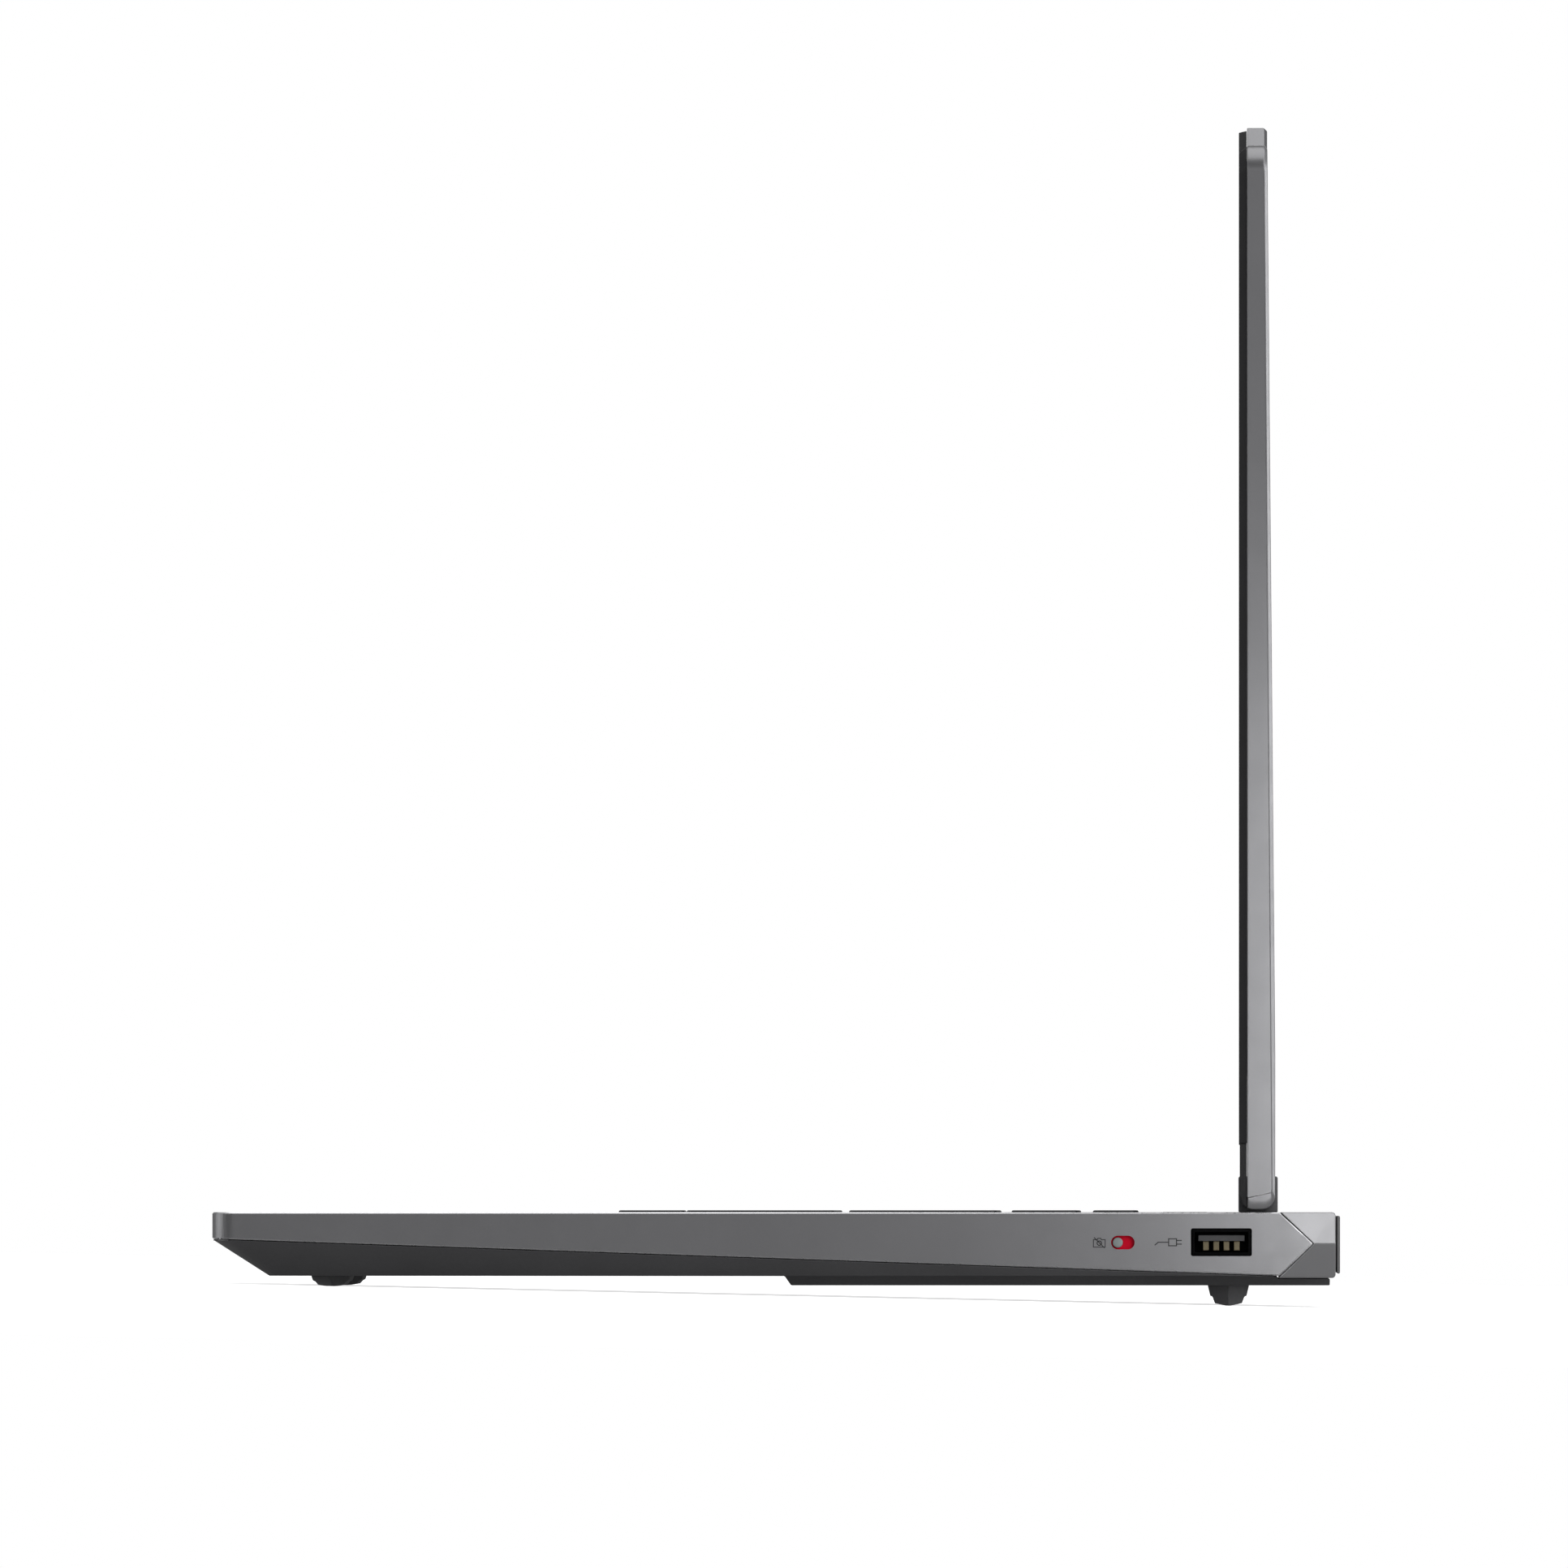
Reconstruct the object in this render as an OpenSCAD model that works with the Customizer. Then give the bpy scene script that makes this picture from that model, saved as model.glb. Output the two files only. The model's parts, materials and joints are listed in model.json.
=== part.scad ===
// Laptop computer standing on its feet with the lid opened square to the deck.
// The base and the lid are drawn in the deck's own frame: x to the user's right, y from the
// front edge to the rear, z up from the deck's top face. stand() tilts that frame onto the feet.

/* [Case] */
// Width of the base
case_w = 359.9; // [350:0.1:370]
// Radius of the base's front corners, seen from above
corner_r = 5.4; // [3:0.1:8]
// Height of the side wall at the front edge
front_wall_h = 6.1; // [5.6:0.1:6.6]
// Height of the side wall at the rear
rear_wall_h = 14.6; // [14.2:0.1:14.8]
// Thickness of the deck and the side walls
skin = 1.6; // [1.2:0.1:1.8]

/* [Lid] */
// Height of the lid above the hinge axis
lid_h = 239.9; // [236:0.1:239.9]
// Extra height of the camera bump
bump_h = 6.0; // [2:0.1:7]
// Thickness of the lid behind the hinge axis, at its foot
lid_back_foot = 4.15; // [3.9:0.05:4.2]
// Thickness of the lid behind the hinge axis, at its top
lid_back_top = 2.36; // [2.2:0.05:3]

/* [Keyboard] */
// Pitch of the keys
key_pitch = 18.65; // [18.4:0.05:18.8]
// Gap between neighbouring keys
key_gap = 3.45; // [3.2:0.05:3.8]
// Height of the keys above the deck
key_rise = 0.45; // [0.3:0.05:0.5]

/* [Hidden] */
$fn = 48;
eps = 0.01;
far = 800;
side_x = case_w / 2;

// Feet, and the tilt that they give the base
front_foot_y = 26.9;
rear_foot_y = 233.1;
front_foot_z = -17.1;
rear_foot_z = -21.6;
foot_flat = 0.12;
tilt = atan((front_foot_z - rear_foot_z) / (rear_foot_y - front_foot_y));
stand_z = -front_foot_y * sin(tilt) - front_foot_z * cos(tilt) - foot_flat;

// Outline of the base seen from the side
deck_rear_y = 244.9;
apex_y = 252.6;
apex_z = -7.25;
rear_y = 257.7;
shell_floor_z = -15.1;
floor_z = -14.6;
rear_floor_z = -16.8;
rear_floor_y = 256.4;
floor_step_y = 131.2;
floor_step_run = 1.5;
chin_y = 13;
wall = 1.8;
part_gap = 0.15;
shell_wall = 1.5;
rear_corner_in = 2.2;
rear_bevel = 0.5;
split_slope = (rear_wall_h - front_wall_h) / deck_rear_y;

// Rear trim plate
plate_half_w = 152;
plate_top = -0.84;
plate_low = -14.1;
plate_y = 258.0;
plate_rear_y = 258.75;
plate_r = 0.35;
row_depth = (plate_rear_y - plate_r) * cos(tilt) - (plate_low + plate_r) * sin(tilt) + plate_r;

// Hinge
hinge_y = 239.7;
hinge_z = 4.84;
cap_x = 117;
cap_w = 36;
cap_front_y = 235.4;
cap_rear_y = 244.46;
cap_top_z = 8.24;
cap_r = 0.5;
cap_wall = 0.9;
shaft_r = 1.5;
shaft_fit = 0.05;
barrel_r = 2.3;
notch_play = 0.6;
notch_h = 6.2;

// Lid, in the lid's own frame: y from the hinge axis to the back, z up from the hinge axis
lid_half_w = 179.7;
lid_split_y = -2.345;
bezel_front_y = -4.19;
chin_front_y = -3.99;
chin_top = 10.9;
lid_low = -4.2;
lid_low_r = 3.2;
lid_straight = 31;
lid_corner_r = 6;
lid_gap = 0.05;
lid_edge = 0.75;
lid_skin = 1.4;
bezel_taper = 1.2;
bump_half_w = 46;
bump_foot = 6;
bump_top_in = 0.7;
bump_drop = 0.4;
view_half_w = 172.1;
view_low = 36.4;
view_top = 230;
panel_half_w = 175;
panel_low = 27;
panel_top = 233;
panel_front_y = -3.4;
panel_t = 2.8;
lens_z = 236.6;
lens_r = 2.4;

// Keyboard
key_rows_y = [92.7, 108.75, 127.4, 146.05, 164.7, 183.35, 202.0];
key_x0 = -171.6;
key_d = key_pitch - key_gap;
function_key_d = 10;
pad_x0 = 101.9;
pad_pitch = 17;
key_r = 1.3;
key_t = 1.35;
key_travel = 1.5;
key_play = 0.45;
bottom_units = [1.5, 1, 1, 1.25, 5.5, 1.25, 1, 1];
shift_units = [2.25, 1, 1, 1, 1, 1, 1, 1, 1, 1, 1, 2.25];
home_units = [1.75, 1, 1, 1, 1, 1, 1, 1, 1, 1, 1, 1, 1.75];
upper_units = [1.5, 1, 1, 1, 1, 1, 1, 1, 1, 1, 1, 1, 1, 1];
number_units = [1, 1, 1, 1, 1, 1, 1, 1, 1, 1, 1, 1, 1, 1.5];
function_units = [for (i = [0:14]) 14.5 / 15];
space_index = 4;
membrane_z = -2.8;
membrane_t = 0.3;
plate_t = 0.5;
dome_r = 2.2;
dome_h = 0.25;

// Touchpad, under the space bar's middle
pad_x = key_x0 + 7.5 * key_pitch;
pad_w = 120;
pad_y0 = 12.5;
pad_d = 75;
pad_play = 0.35;
pad_t = 1.1;
pad_sink = 0.05;

// Power button
button_y = 223;
button_r = 5.2;
ring_r = 6.6;
button_play = 0.15;

// Right side: USB port and camera switch
usb_y0 = 225.0;
usb_w = 13.0;
usb_z0 = -9.59;
usb_h = 5.4;
usb_depth = 14;
usb_wall = 0.3;
usb_rim = 0.5;
usb_sink = 0.4;
contact_pitch = 2.36;
switch_y0 = 206.2;
switch_w = 5.4;
switch_z = -6.96;
switch_r = 1.58;
knob_y = 207.75;
knob_r = 1.17;
knob_travel = 2.3;
knob_sink = 0.3;
slider_x = side_x - wall - 0.15;
slider_t = 0.5;
io_board_z = -11.4;
io_board_t = 1.2;

// Rear ports
port_z = -7.6;
port_y0 = 244;
rear_usb_x = [-10, 12];
hdmi_x = -34;
hdmi_w = 14.2;
hdmi_h = 4.7;
ethernet_x = 38;
ethernet_w = 12;
ethernet_h = 8.4;
inlet_x = -58;
inlet_r = 3.7;
inlet_depth = 12;
inlet_pin_r = 0.8;
jack_y = 206;
jack_r = 1.8;
jack_depth = 14;
type_c_y = 222;
type_c_w = 9;
type_c_h = 3.2;

// Cooling
fan_x = 105;
fan_y = 184;
fan_r = 35;
fan_top = -5;
fan_low = -12.6;
fan_wall = 0.9;
inlet_hole_r = 21;
axle_r = 1.2;
hub_r = 11;
rotor_r = 32;
blades = 31;
fin_y0 = 226.5;
fin_d = 16;
fin_half_w = 33;
fin_pitch = 2.2;
vent_half_w = 34;
vent_low = -12.4;
vent_h = 9.2;
slat_pitch = 2.9;

// Fasteners and bottom
screw_places = [
    [-150, 17.5], [0, 17.5], [150, 17.5], [-160, 120], [0, 120], [160, 120],
    [-150, 241.3], [-60, 241.3], [60, 241.3], [150, 241.3]];
screw_r = 1.5;
screw_head_r = 2.6;
screw_head_t = 1.0;
slot_w = 2.2;
slot_pitch = 4.8;
slots = 11;

// Stands the deck's frame on the feet, with the origin under the middle of the whole box.
module stand() {
    translate([0, -row_depth / 2, stand_z])
        rotate([tilt, 0, 0])
            children();
}

// Stands the lid's frame on the hinge axis.
module on_hinge() {
    stand()
        translate([0, hinge_y, hinge_z])
            children();
}

// Extrudes an outline drawn in y and z across a width centred on x = 0.
module across(half_w) {
    rotate([90, 0, 90])
        translate([0, 0, -half_w])
            linear_extrude(2 * half_w)
                children();
}

// Extrudes an outline drawn in x and z from y0 to y1.
module along_y(y0, y1) {
    translate([0, y1, 0])
        rotate([90, 0, 0])
            linear_extrude(y1 - y0)
                children();
}

module rounded_rect(w, d, r) {
    translate([r, 0])
        square([w - 2 * r, d]);
    translate([0, r])
        square([w, d - 2 * r]);
    for (x = [r, w - r])
        for (y = [r, d - r])
            translate([x, y])
                circle(r);
}

module slab(x0, y0, z0, w, d, h) {
    translate([x0, y0, z0])
        cube([w, d, h]);
}

// A large block on the far side of the plane through p with normal n.
module beyond(p, n) {
    translate(p)
        rotate([0, acos(n[2] / norm(n)), atan2(n[1], n[0])])
            translate([-far / 2, -far / 2, 0])
                cube(far);
}

function arc(centre, r, a0, a1, steps) =
    [for (i = [0:steps]) centre + r * [cos(a0 + (a1 - a0) * i / steps), sin(a0 + (a1 - a0) * i / steps)]];
function split_z(y) = -front_wall_h - split_slope * y;

// ---------------------------------------------------------------- casing

module case_plan(inset) {
    r = corner_r - inset;
    half = side_x - inset;
    translate([-half, inset + r])
        square([2 * half, rear_y - inset - r]);
    translate([-half + r, inset])
        square([2 * (half - r), corner_r]);
    for (s = [-1, 1])
        translate([s * (half - r), inset + r])
            circle(r);
}

module key_box(x, y, w, d, z0, h, grow) {
    translate([x - grow, y - grow, z0])
        linear_extrude(h)
            rounded_rect(w + 2 * grow, d + 2 * grow, key_r);
}

function units_before(units, i) = i == 0 ? 0 : units_before(units, i - 1) + units[i - 1];

// The keys of one row from index first to last, each a separate cap.
module key_row(y, d, units, first, last, z0, h, grow) {
    for (i = [first:last])
        key_box(
            key_x0 + units_before(units, i) * key_pitch, y, units[i] * key_pitch - key_gap, d,
            z0, h, grow);
}

module pad_key(column, row, columns, rows, d, z0, h, grow) {
    y = key_rows_y[row];
    depth = rows == 2 ? 2 * key_pitch - key_gap : d;
    key_box(pad_x0 + column * pad_pitch, y, columns * pad_pitch - key_gap, depth, z0, h, grow);
}

module numpad(z0, h, grow) {
    for (column = [0:3])
        pad_key(column, 6, 1, 1, function_key_d, z0, h, grow);
    for (column = [0:3])
        pad_key(column, 5, 1, 1, key_d, z0, h, grow);
    for (column = [0:2])
        for (row = [2:4])
            pad_key(column, row, 1, 1, key_d, z0, h, grow);
    pad_key(3, 3, 1, 2, key_d, z0, h, grow);
    pad_key(3, 1, 1, 2, key_d, z0, h, grow);
    pad_key(0, 1, 2, 1, key_d, z0, h, grow);
    pad_key(2, 1, 1, 1, key_d, z0, h, grow);
}

module arrows(z0, h, grow) {
    up_x = key_x0 + 13.5 * key_pitch;
    key_box(up_x, key_rows_y[1], key_pitch - key_gap, key_d, z0, h, grow);
    for (i = [-1:1])
        key_box(up_x + i * key_pitch, key_rows_y[0], key_pitch - key_gap, key_d, z0, h, grow);
}

module letter_rows(z0, h, grow) {
    key_row(key_rows_y[2], key_d, shift_units, 1, 10, z0, h, grow);
    key_row(key_rows_y[3], key_d, home_units, 1, 11, z0, h, grow);
    key_row(key_rows_y[4], key_d, upper_units, 1, 13, z0, h, grow);
    key_row(key_rows_y[5], key_d, number_units, 0, 12, z0, h, grow);
    key_row(key_rows_y[6], function_key_d, function_units, 0, 14, z0, h, grow);
}

module modifiers(z0, h, grow) {
    key_row(key_rows_y[1], key_d, bottom_units, 0, space_index - 1, z0, h, grow);
    key_row(key_rows_y[1], key_d, bottom_units, space_index + 1, 7, z0, h, grow);
    key_row(key_rows_y[2], key_d, shift_units, 0, 0, z0, h, grow);
    key_row(key_rows_y[2], key_d, shift_units, 11, 11, z0, h, grow);
    key_row(key_rows_y[3], key_d, home_units, 0, 0, z0, h, grow);
    key_row(key_rows_y[3], key_d, home_units, 12, 12, z0, h, grow);
    key_row(key_rows_y[4], key_d, upper_units, 0, 0, z0, h, grow);
    key_row(key_rows_y[5], key_d, number_units, 13, 13, z0, h, grow);
}

module space(z0, h, grow) {
    key_row(key_rows_y[1], key_d, bottom_units, space_index, space_index, z0, h, grow);
}

module key_windows() {
    z0 = -skin - 1;
    h = skin + 2;
    letter_rows(z0, h, key_play);
    modifiers(z0, h, key_play);
    space(z0, h, key_play);
    arrows(z0, h, key_play);
    numpad(z0, h, key_play);
}

module usb_hole(grow) {
    along = usb_w + 2 * grow;
    up = usb_h + 2 * grow;
    translate([side_x - 2 * wall, usb_y0 - grow, usb_z0 - grow])
        rotate([90, 0, 90])
            linear_extrude(3 * wall)
                rounded_rect(along, up, usb_rim);
}

module switch_pill(x0, depth, grow) {
    translate([x0, 0, 0])
        rotate([90, 0, 90])
            linear_extrude(depth) {
                translate([switch_y0 + switch_r, switch_z - switch_r - grow])
                    square([switch_w - 2 * switch_r, 2 * (switch_r + grow)]);
                for (y = [switch_y0 + switch_r, switch_y0 + switch_w - switch_r])
                    translate([y, switch_z])
                        circle(switch_r + grow);
            }
}

module left_port_holes() {
    translate([-side_x - 1, jack_y, port_z])
        rotate([0, 90, 0])
            cylinder(r = jack_r + 0.9, h = 2 * wall);
    translate([-side_x - 1, type_c_y - type_c_w / 2 - 0.3, port_z - type_c_h / 2 - 0.3])
        rotate([90, 0, 90])
            linear_extrude(2 * wall)
                rounded_rect(type_c_w + 0.6, type_c_h + 0.6, 1.5);
}

module deck_hinge_slots() {
    for (s = [-1, 1])
        slab(s * cap_x - 9, hinge_y - 2, -skin - 1, 18, 4, skin + 2);
}

module top_case() {
    color("dimgray")
        stand()
            difference() {
                intersection() {
                    translate([0, 0, -far / 4])
                        linear_extrude(far / 4)
                            case_plan(0);
                    across(side_x + 1)
                        polygon([
                            [-1, 0], [deck_rear_y, 0], [apex_y, apex_z],
                            [deck_rear_y, -rear_wall_h], [-1, split_z(-1)]]);
                }
                slab(-side_x + wall, wall, -far / 4 - 1, 2 * (side_x - wall), far, far / 4 + 1 - skin);
                key_windows();
                translate([pad_x - pad_w / 2 - pad_play, pad_y0 - pad_play, -skin - 1])
                    linear_extrude(skin + 2)
                        rounded_rect(pad_w + 2 * pad_play, pad_d + 2 * pad_play, 2.5);
                translate([0, button_y, -skin - 1])
                    cylinder(r = ring_r + part_gap, h = skin + 2);
                usb_hole(usb_rim);
                switch_pill(side_x - 2 * wall, 3 * wall, 0);
                left_port_holes();
                deck_hinge_slots();
            }
}

// Solid form of the bottom cover, drawn in by t all round.
module bottom_form(t) {
    r = corner_r - t;
    low_r = 3.3 - t / 2;
    low_front = chin_y + t;
    front_drop = -floor_z - front_wall_h;
    hull() {
        for (s = [-1, 1]) {
            translate([s * (side_x - t - r), corner_r + 0.3, split_z(corner_r) - 0.1])
                cylinder(r = r, h = 0.1 + t);
            translate([s * (side_x - t - 1), deck_rear_y - 1 - t, split_z(deck_rear_y) - 0.1])
                cylinder(r = 1, h = 0.1 + t);
            translate([s * (side_x - t - front_drop - low_r), low_front + low_r, floor_z + t])
                cylinder(r = low_r, h = 0.1);
            translate([s * (side_x - t - 1.4), deck_rear_y - 1 - t, floor_z + t])
                cylinder(r = 1, h = 0.1);
        }
    }
    hull() {
        slab(-168 + t, floor_step_y + t, floor_z + t, 336 - 2 * t, rear_floor_y - floor_step_y - 2 * t, 0.1);
        slab(-165.8 + t, floor_step_y + floor_step_run + t, rear_floor_z + t, 331.6 - 2 * t,
            rear_floor_y - floor_step_y - floor_step_run - 2 * t, 0.1);
    }
}

module intake_slots() {
    for (s = [-1, 1])
        for (i = [0:slots - 1])
            slab(s * fan_x - 25, fan_y + (i - (slots - 1) / 2) * slot_pitch - slot_w / 2,
                rear_floor_z - 1, 50, slot_w, 5);
    for (s = [-1, 1])
        for (i = [0:5])
            slab(s * 143 - 9, 32 + i * 3.2, floor_z - 1, 18, 1.2, 4);
}

module bottom_cover() {
    color([0.2, 0.2, 0.21])
        stand()
            difference() {
                bottom_form(0);
                bottom_form(1.3);
                beyond([0, 0, -front_wall_h - part_gap], [0, split_slope, 1]);
                slab(-far / 2, deck_rear_y - rear_bevel, shell_floor_z - part_gap, far, far, far / 4);
                intake_slots();
                for (p = screw_places)
                    translate([p[0], p[1], rear_floor_z - 2])
                        cylinder(r = screw_r + 0.15, h = 8);
                for (p = screw_places)
                    translate([p[0], p[1], (p[1] < floor_step_y ? floor_z : rear_floor_z) - 1])
                        cylinder(r = screw_head_r + 0.1, h = 1 + screw_head_t * 0.8);
            }
}

module bottom_screws() {
    color([0.12, 0.12, 0.12])
        stand()
            for (p = screw_places) {
                face_z = (p[1] < floor_step_y ? floor_z : rear_floor_z) + 0.05;
                translate([p[0], p[1], face_z])
                    difference() {
                        union() {
                            cylinder(r = screw_head_r, h = screw_head_t * 0.7);
                            cylinder(r = screw_r, h = 3.4);
                        }
                        for (a = [0, 90])
                            rotate([0, 0, a])
                                slab(-1.4, -0.3, -eps, 2.8, 0.6, 0.5);
                    }
            }
}

module vent_hole(s, y0, depth, grow) {
    slab(s * fan_x - vent_half_w - grow, y0, vent_low - grow,
        2 * (vent_half_w + grow), depth, vent_h + 2 * grow);
}

module rear_port_holes(y0, depth) {
    for (x = rear_usb_x)
        slab(x - usb_w / 2 - 0.2, y0, port_z - usb_h / 2 - 0.2, usb_w + 0.4, depth, usb_h + 0.4);
    slab(hdmi_x - hdmi_w / 2 - 0.2, y0, port_z - hdmi_h / 2 - 0.2, hdmi_w + 0.4, depth, hdmi_h + 0.4);
    slab(ethernet_x - ethernet_w / 2 - 0.2, y0, port_z - ethernet_h / 2 - 0.2,
        ethernet_w + 0.4, depth, ethernet_h + 0.4);
    translate([inlet_x, y0, port_z])
        rotate([-90, 0, 0])
            cylinder(r = inlet_r + 1, h = depth);
}

module rear_shell() {
    color("gray")
        stand()
            difference() {
                across(side_x)
                    polygon([
                        [deck_rear_y + part_gap, 0], [rear_y - rear_bevel, 0], [rear_y, -rear_bevel],
                        [rear_y, shell_floor_z + rear_bevel], [rear_y - rear_bevel, shell_floor_z],
                        [deck_rear_y - rear_bevel + part_gap, shell_floor_z],
                        [deck_rear_y + part_gap, -rear_wall_h], [apex_y + part_gap, apex_z]]);
                slab(-side_x + 9, 200, shell_floor_z + shell_wall, 2 * (side_x - 9),
                    rear_y - shell_wall - 200, -shell_floor_z - 2 * shell_wall);
                for (s = [-1, 1])
                    for (u = [-1, 1])
                        beyond(
                            [s * side_x, apex_y, apex_z],
                            [s * (rear_y - apex_y) * -apex_z, rear_corner_in * -apex_z,
                                u * rear_corner_in * (apex_y - deck_rear_y)]);
                for (s = [-1, 1])
                    vent_hole(s, rear_y - 3, 6, 0.1);
                rear_port_holes(rear_y - 3, 6);
            }
}

module rear_trim_plate() {
    color([0.3, 0.3, 0.3])
        stand()
            difference() {
                union() {
                    across(plate_half_w)
                        translate([plate_y, plate_low])
                            rounded_rect(plate_rear_y - plate_y, plate_top - plate_low, plate_r);
                    slab(-plate_half_w + 1, rear_y, plate_low + 1, 2 * plate_half_w - 2,
                        plate_y - rear_y + 0.2, plate_top - plate_low - 2);
                }
                for (s = [-1, 1])
                    vent_hole(s, rear_y - 3, 6, 0.1);
                rear_port_holes(rear_y - 3, 6);
            }
}

module vent_grille(s) {
    y0 = rear_y - shell_wall + 0.1;
    depth = plate_rear_y - 0.15 - y0;
    count = floor(2 * vent_half_w / slat_pitch);
    difference() {
        vent_hole(s, y0, depth, 0);
        for (i = [0:count - 1])
            slab(s * fan_x + (i - (count - 1) / 2) * slat_pitch - slat_pitch * 0.36, y0 - 1, vent_low + 0.8,
                slat_pitch * 0.72, depth + 2, vent_h - 1.6);
    }
}

module vent_grille_left() {
    color([0.15, 0.15, 0.16])
        stand()
            vent_grille(-1);
}

module vent_grille_right() {
    color([0.15, 0.15, 0.16])
        stand()
            vent_grille(1);
}

// ---------------------------------------------------------------- feet

// A rubber bar with a keel underneath, a small step on its flanks and pointed ends.
module foot_bar(x0, x1, y, root_z, root_w, step_z, step_w, sole_w, shoulder_z, keel_z) {
    intersection() {
        across(far / 2)
            polygon([
                [y - root_w / 2, root_z], [y - step_w / 2 - 0.5, step_z + 0.2], [y - step_w / 2, step_z],
                [y - sole_w / 2, shoulder_z], [y, keel_z], [y + sole_w / 2, shoulder_z],
                [y + step_w / 2, step_z], [y + step_w / 2 + 0.5, step_z + 0.2], [y + root_w / 2, root_z]]);
        translate([0, 0, -far / 8])
            linear_extrude(far / 8)
                polygon([
                    [x0, y], [x0 + 4, y - root_w / 2 - 0.1], [x1 - 4, y - root_w / 2 - 0.1],
                    [x1, y], [x1 - 4, y + root_w / 2 + 0.1], [x0 + 4, y + root_w / 2 + 0.1]]);
    }
}

module front_feet() {
    color([0.2, 0.2, 0.21])
        difference() {
            stand()
                for (s = [-1, 1])
                    foot_bar(s * 118 - 38, s * 118 + 38, front_foot_y, floor_z - 0.03, 9.0,
                        -15.9, 7.26, 5.8, -16.7, front_foot_z);
            slab(-far / 2, -far / 2, -far / 8, far, far, far / 8);
        }
}

module rear_foot() {
    color([0.2, 0.2, 0.21])
        difference() {
            stand()
                foot_bar(-156, 156, rear_foot_y, rear_floor_z, 9.5, -19.4, 7.35, 6.27, -20.9, rear_foot_z);
            slab(-far / 2, -far / 2, -far / 8, far, far, far / 8);
        }
}

// ---------------------------------------------------------------- keyboard

module keyboard_plate() {
    color("silver")
        stand()
            slab(key_x0 - 2, 91.2, membrane_z - membrane_t - plate_t, 2 * -key_x0 + 2, 122.8, plate_t);
}

module keyboard_membrane() {
    domes_z = membrane_z - eps;
    color([0.75, 0.75, 0.7])
        stand()
            union() {
                slab(key_x0 - 1, 91.5, membrane_z - membrane_t, 2 * -key_x0, 121.5, membrane_t);
                for (row = [1:5])
                    for (i = [0:12])
                        translate([key_x0 + (i + 0.6) * key_pitch, key_rows_y[row] + key_d / 2, domes_z])
                            cylinder(r = dome_r, h = dome_h + eps);
            }
}

module caps_colour() {
    color([0.13, 0.13, 0.14])
        stand()
            children();
}

module function_keys() {
    caps_colour()
        key_row(key_rows_y[6], function_key_d, function_units, 0, 14, key_rise - key_t, key_t, 0);
}

module number_keys() {
    caps_colour()
        key_row(key_rows_y[5], key_d, number_units, 0, 12, key_rise - key_t, key_t, 0);
}

module upper_letter_keys() {
    caps_colour()
        key_row(key_rows_y[4], key_d, upper_units, 1, 13, key_rise - key_t, key_t, 0);
}

module home_letter_keys() {
    caps_colour()
        key_row(key_rows_y[3], key_d, home_units, 1, 11, key_rise - key_t, key_t, 0);
}

module lower_letter_keys() {
    caps_colour()
        key_row(key_rows_y[2], key_d, shift_units, 1, 10, key_rise - key_t, key_t, 0);
}

module modifier_keys() {
    caps_colour()
        modifiers(key_rise - key_t, key_t, 0);
}

module space_bar() {
    caps_colour()
        space(key_rise - key_t, key_t, 0);
}

module arrow_keys() {
    caps_colour()
        arrows(key_rise - key_t, key_t, 0);
}

module numpad_keys() {
    caps_colour()
        numpad(key_rise - key_t, key_t, 0);
}

module touchpad() {
    color([0.3, 0.3, 0.31])
        stand()
            translate([pad_x - pad_w / 2, pad_y0, -pad_sink - pad_t])
                linear_extrude(pad_t)
                    rounded_rect(pad_w, pad_d, 2.2);
}

module touchpad_frame() {
    color("silver")
        stand()
            difference() {
                slab(pad_x - pad_w / 2 - 6, pad_y0 - 6, -3.2, pad_w + 12, pad_d + 9, 1.5);
                slab(pad_x - pad_w / 2 - 1, pad_y0 - 1, -2.6, pad_w + 2, pad_d + 2, 2);
                slab(pad_x - 20, pad_y0 + 20, -4, 40, 30, 2);
            }
}

module power_button() {
    color("silver")
        stand()
            translate([0, button_y, -1.4])
                cylinder(r = button_r, h = 1.45);
}

module power_button_ring() {
    color("white")
        stand()
            translate([0, button_y, 0])
                difference() {
                    translate([0, 0, -1.5])
                        cylinder(r = ring_r, h = 1.5);
                    translate([0, 0, -2])
                        cylinder(r = button_r + button_play, h = 3);
                }
}

// ---------------------------------------------------------------- ports

// A folded metal shell with its mouth at x = 0, running back along -x.
module port_shell(w, h, depth, t) {
    difference() {
        slab(-depth, -w / 2, -h / 2, depth, w, h);
        slab(-depth + t, -w / 2 + t, -h / 2 + t, depth, w - 2 * t, h - 2 * t);
    }
}

module port_tongue(w, t, z, depth, reach) {
    slab(-depth, -w / 2, z - t / 2, reach, w, t);
}

module usb_place() {
    stand()
        translate([side_x - usb_sink, usb_y0 + usb_w / 2, usb_z0 + usb_h / 2])
            children();
}

module usb_port_right() {
    color("silver")
        usb_place()
            difference() {
                union() {
                    slab(-usb_depth, -usb_w / 2, -usb_h / 2, usb_depth, usb_w, usb_h);
                    slab(usb_sink - wall - 0.4, -usb_w / 2 - 1, -usb_h / 2 - 1, 0.3, usb_w + 2, usb_h + 2);
                }
                slab(-usb_depth + usb_wall, -usb_w / 2 + usb_wall, -usb_h / 2 + usb_wall,
                    usb_depth, usb_w - 2 * usb_wall, usb_h - 2 * usb_wall);
            }
}

module usb_tongue_right() {
    color([0.1, 0.1, 0.1])
        usb_place()
            port_tongue(10.6, 1.36, 0.94, usb_depth - usb_wall, 12.6);
}

module usb_contacts_right() {
    color("goldenrod")
        usb_place()
            for (i = [0:3])
                slab(-usb_depth + usb_wall + 2, (i - 1.5) * contact_pitch - 0.68, -1.9,
                    9.6, 1.36, 2.16 - eps);
}

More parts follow.
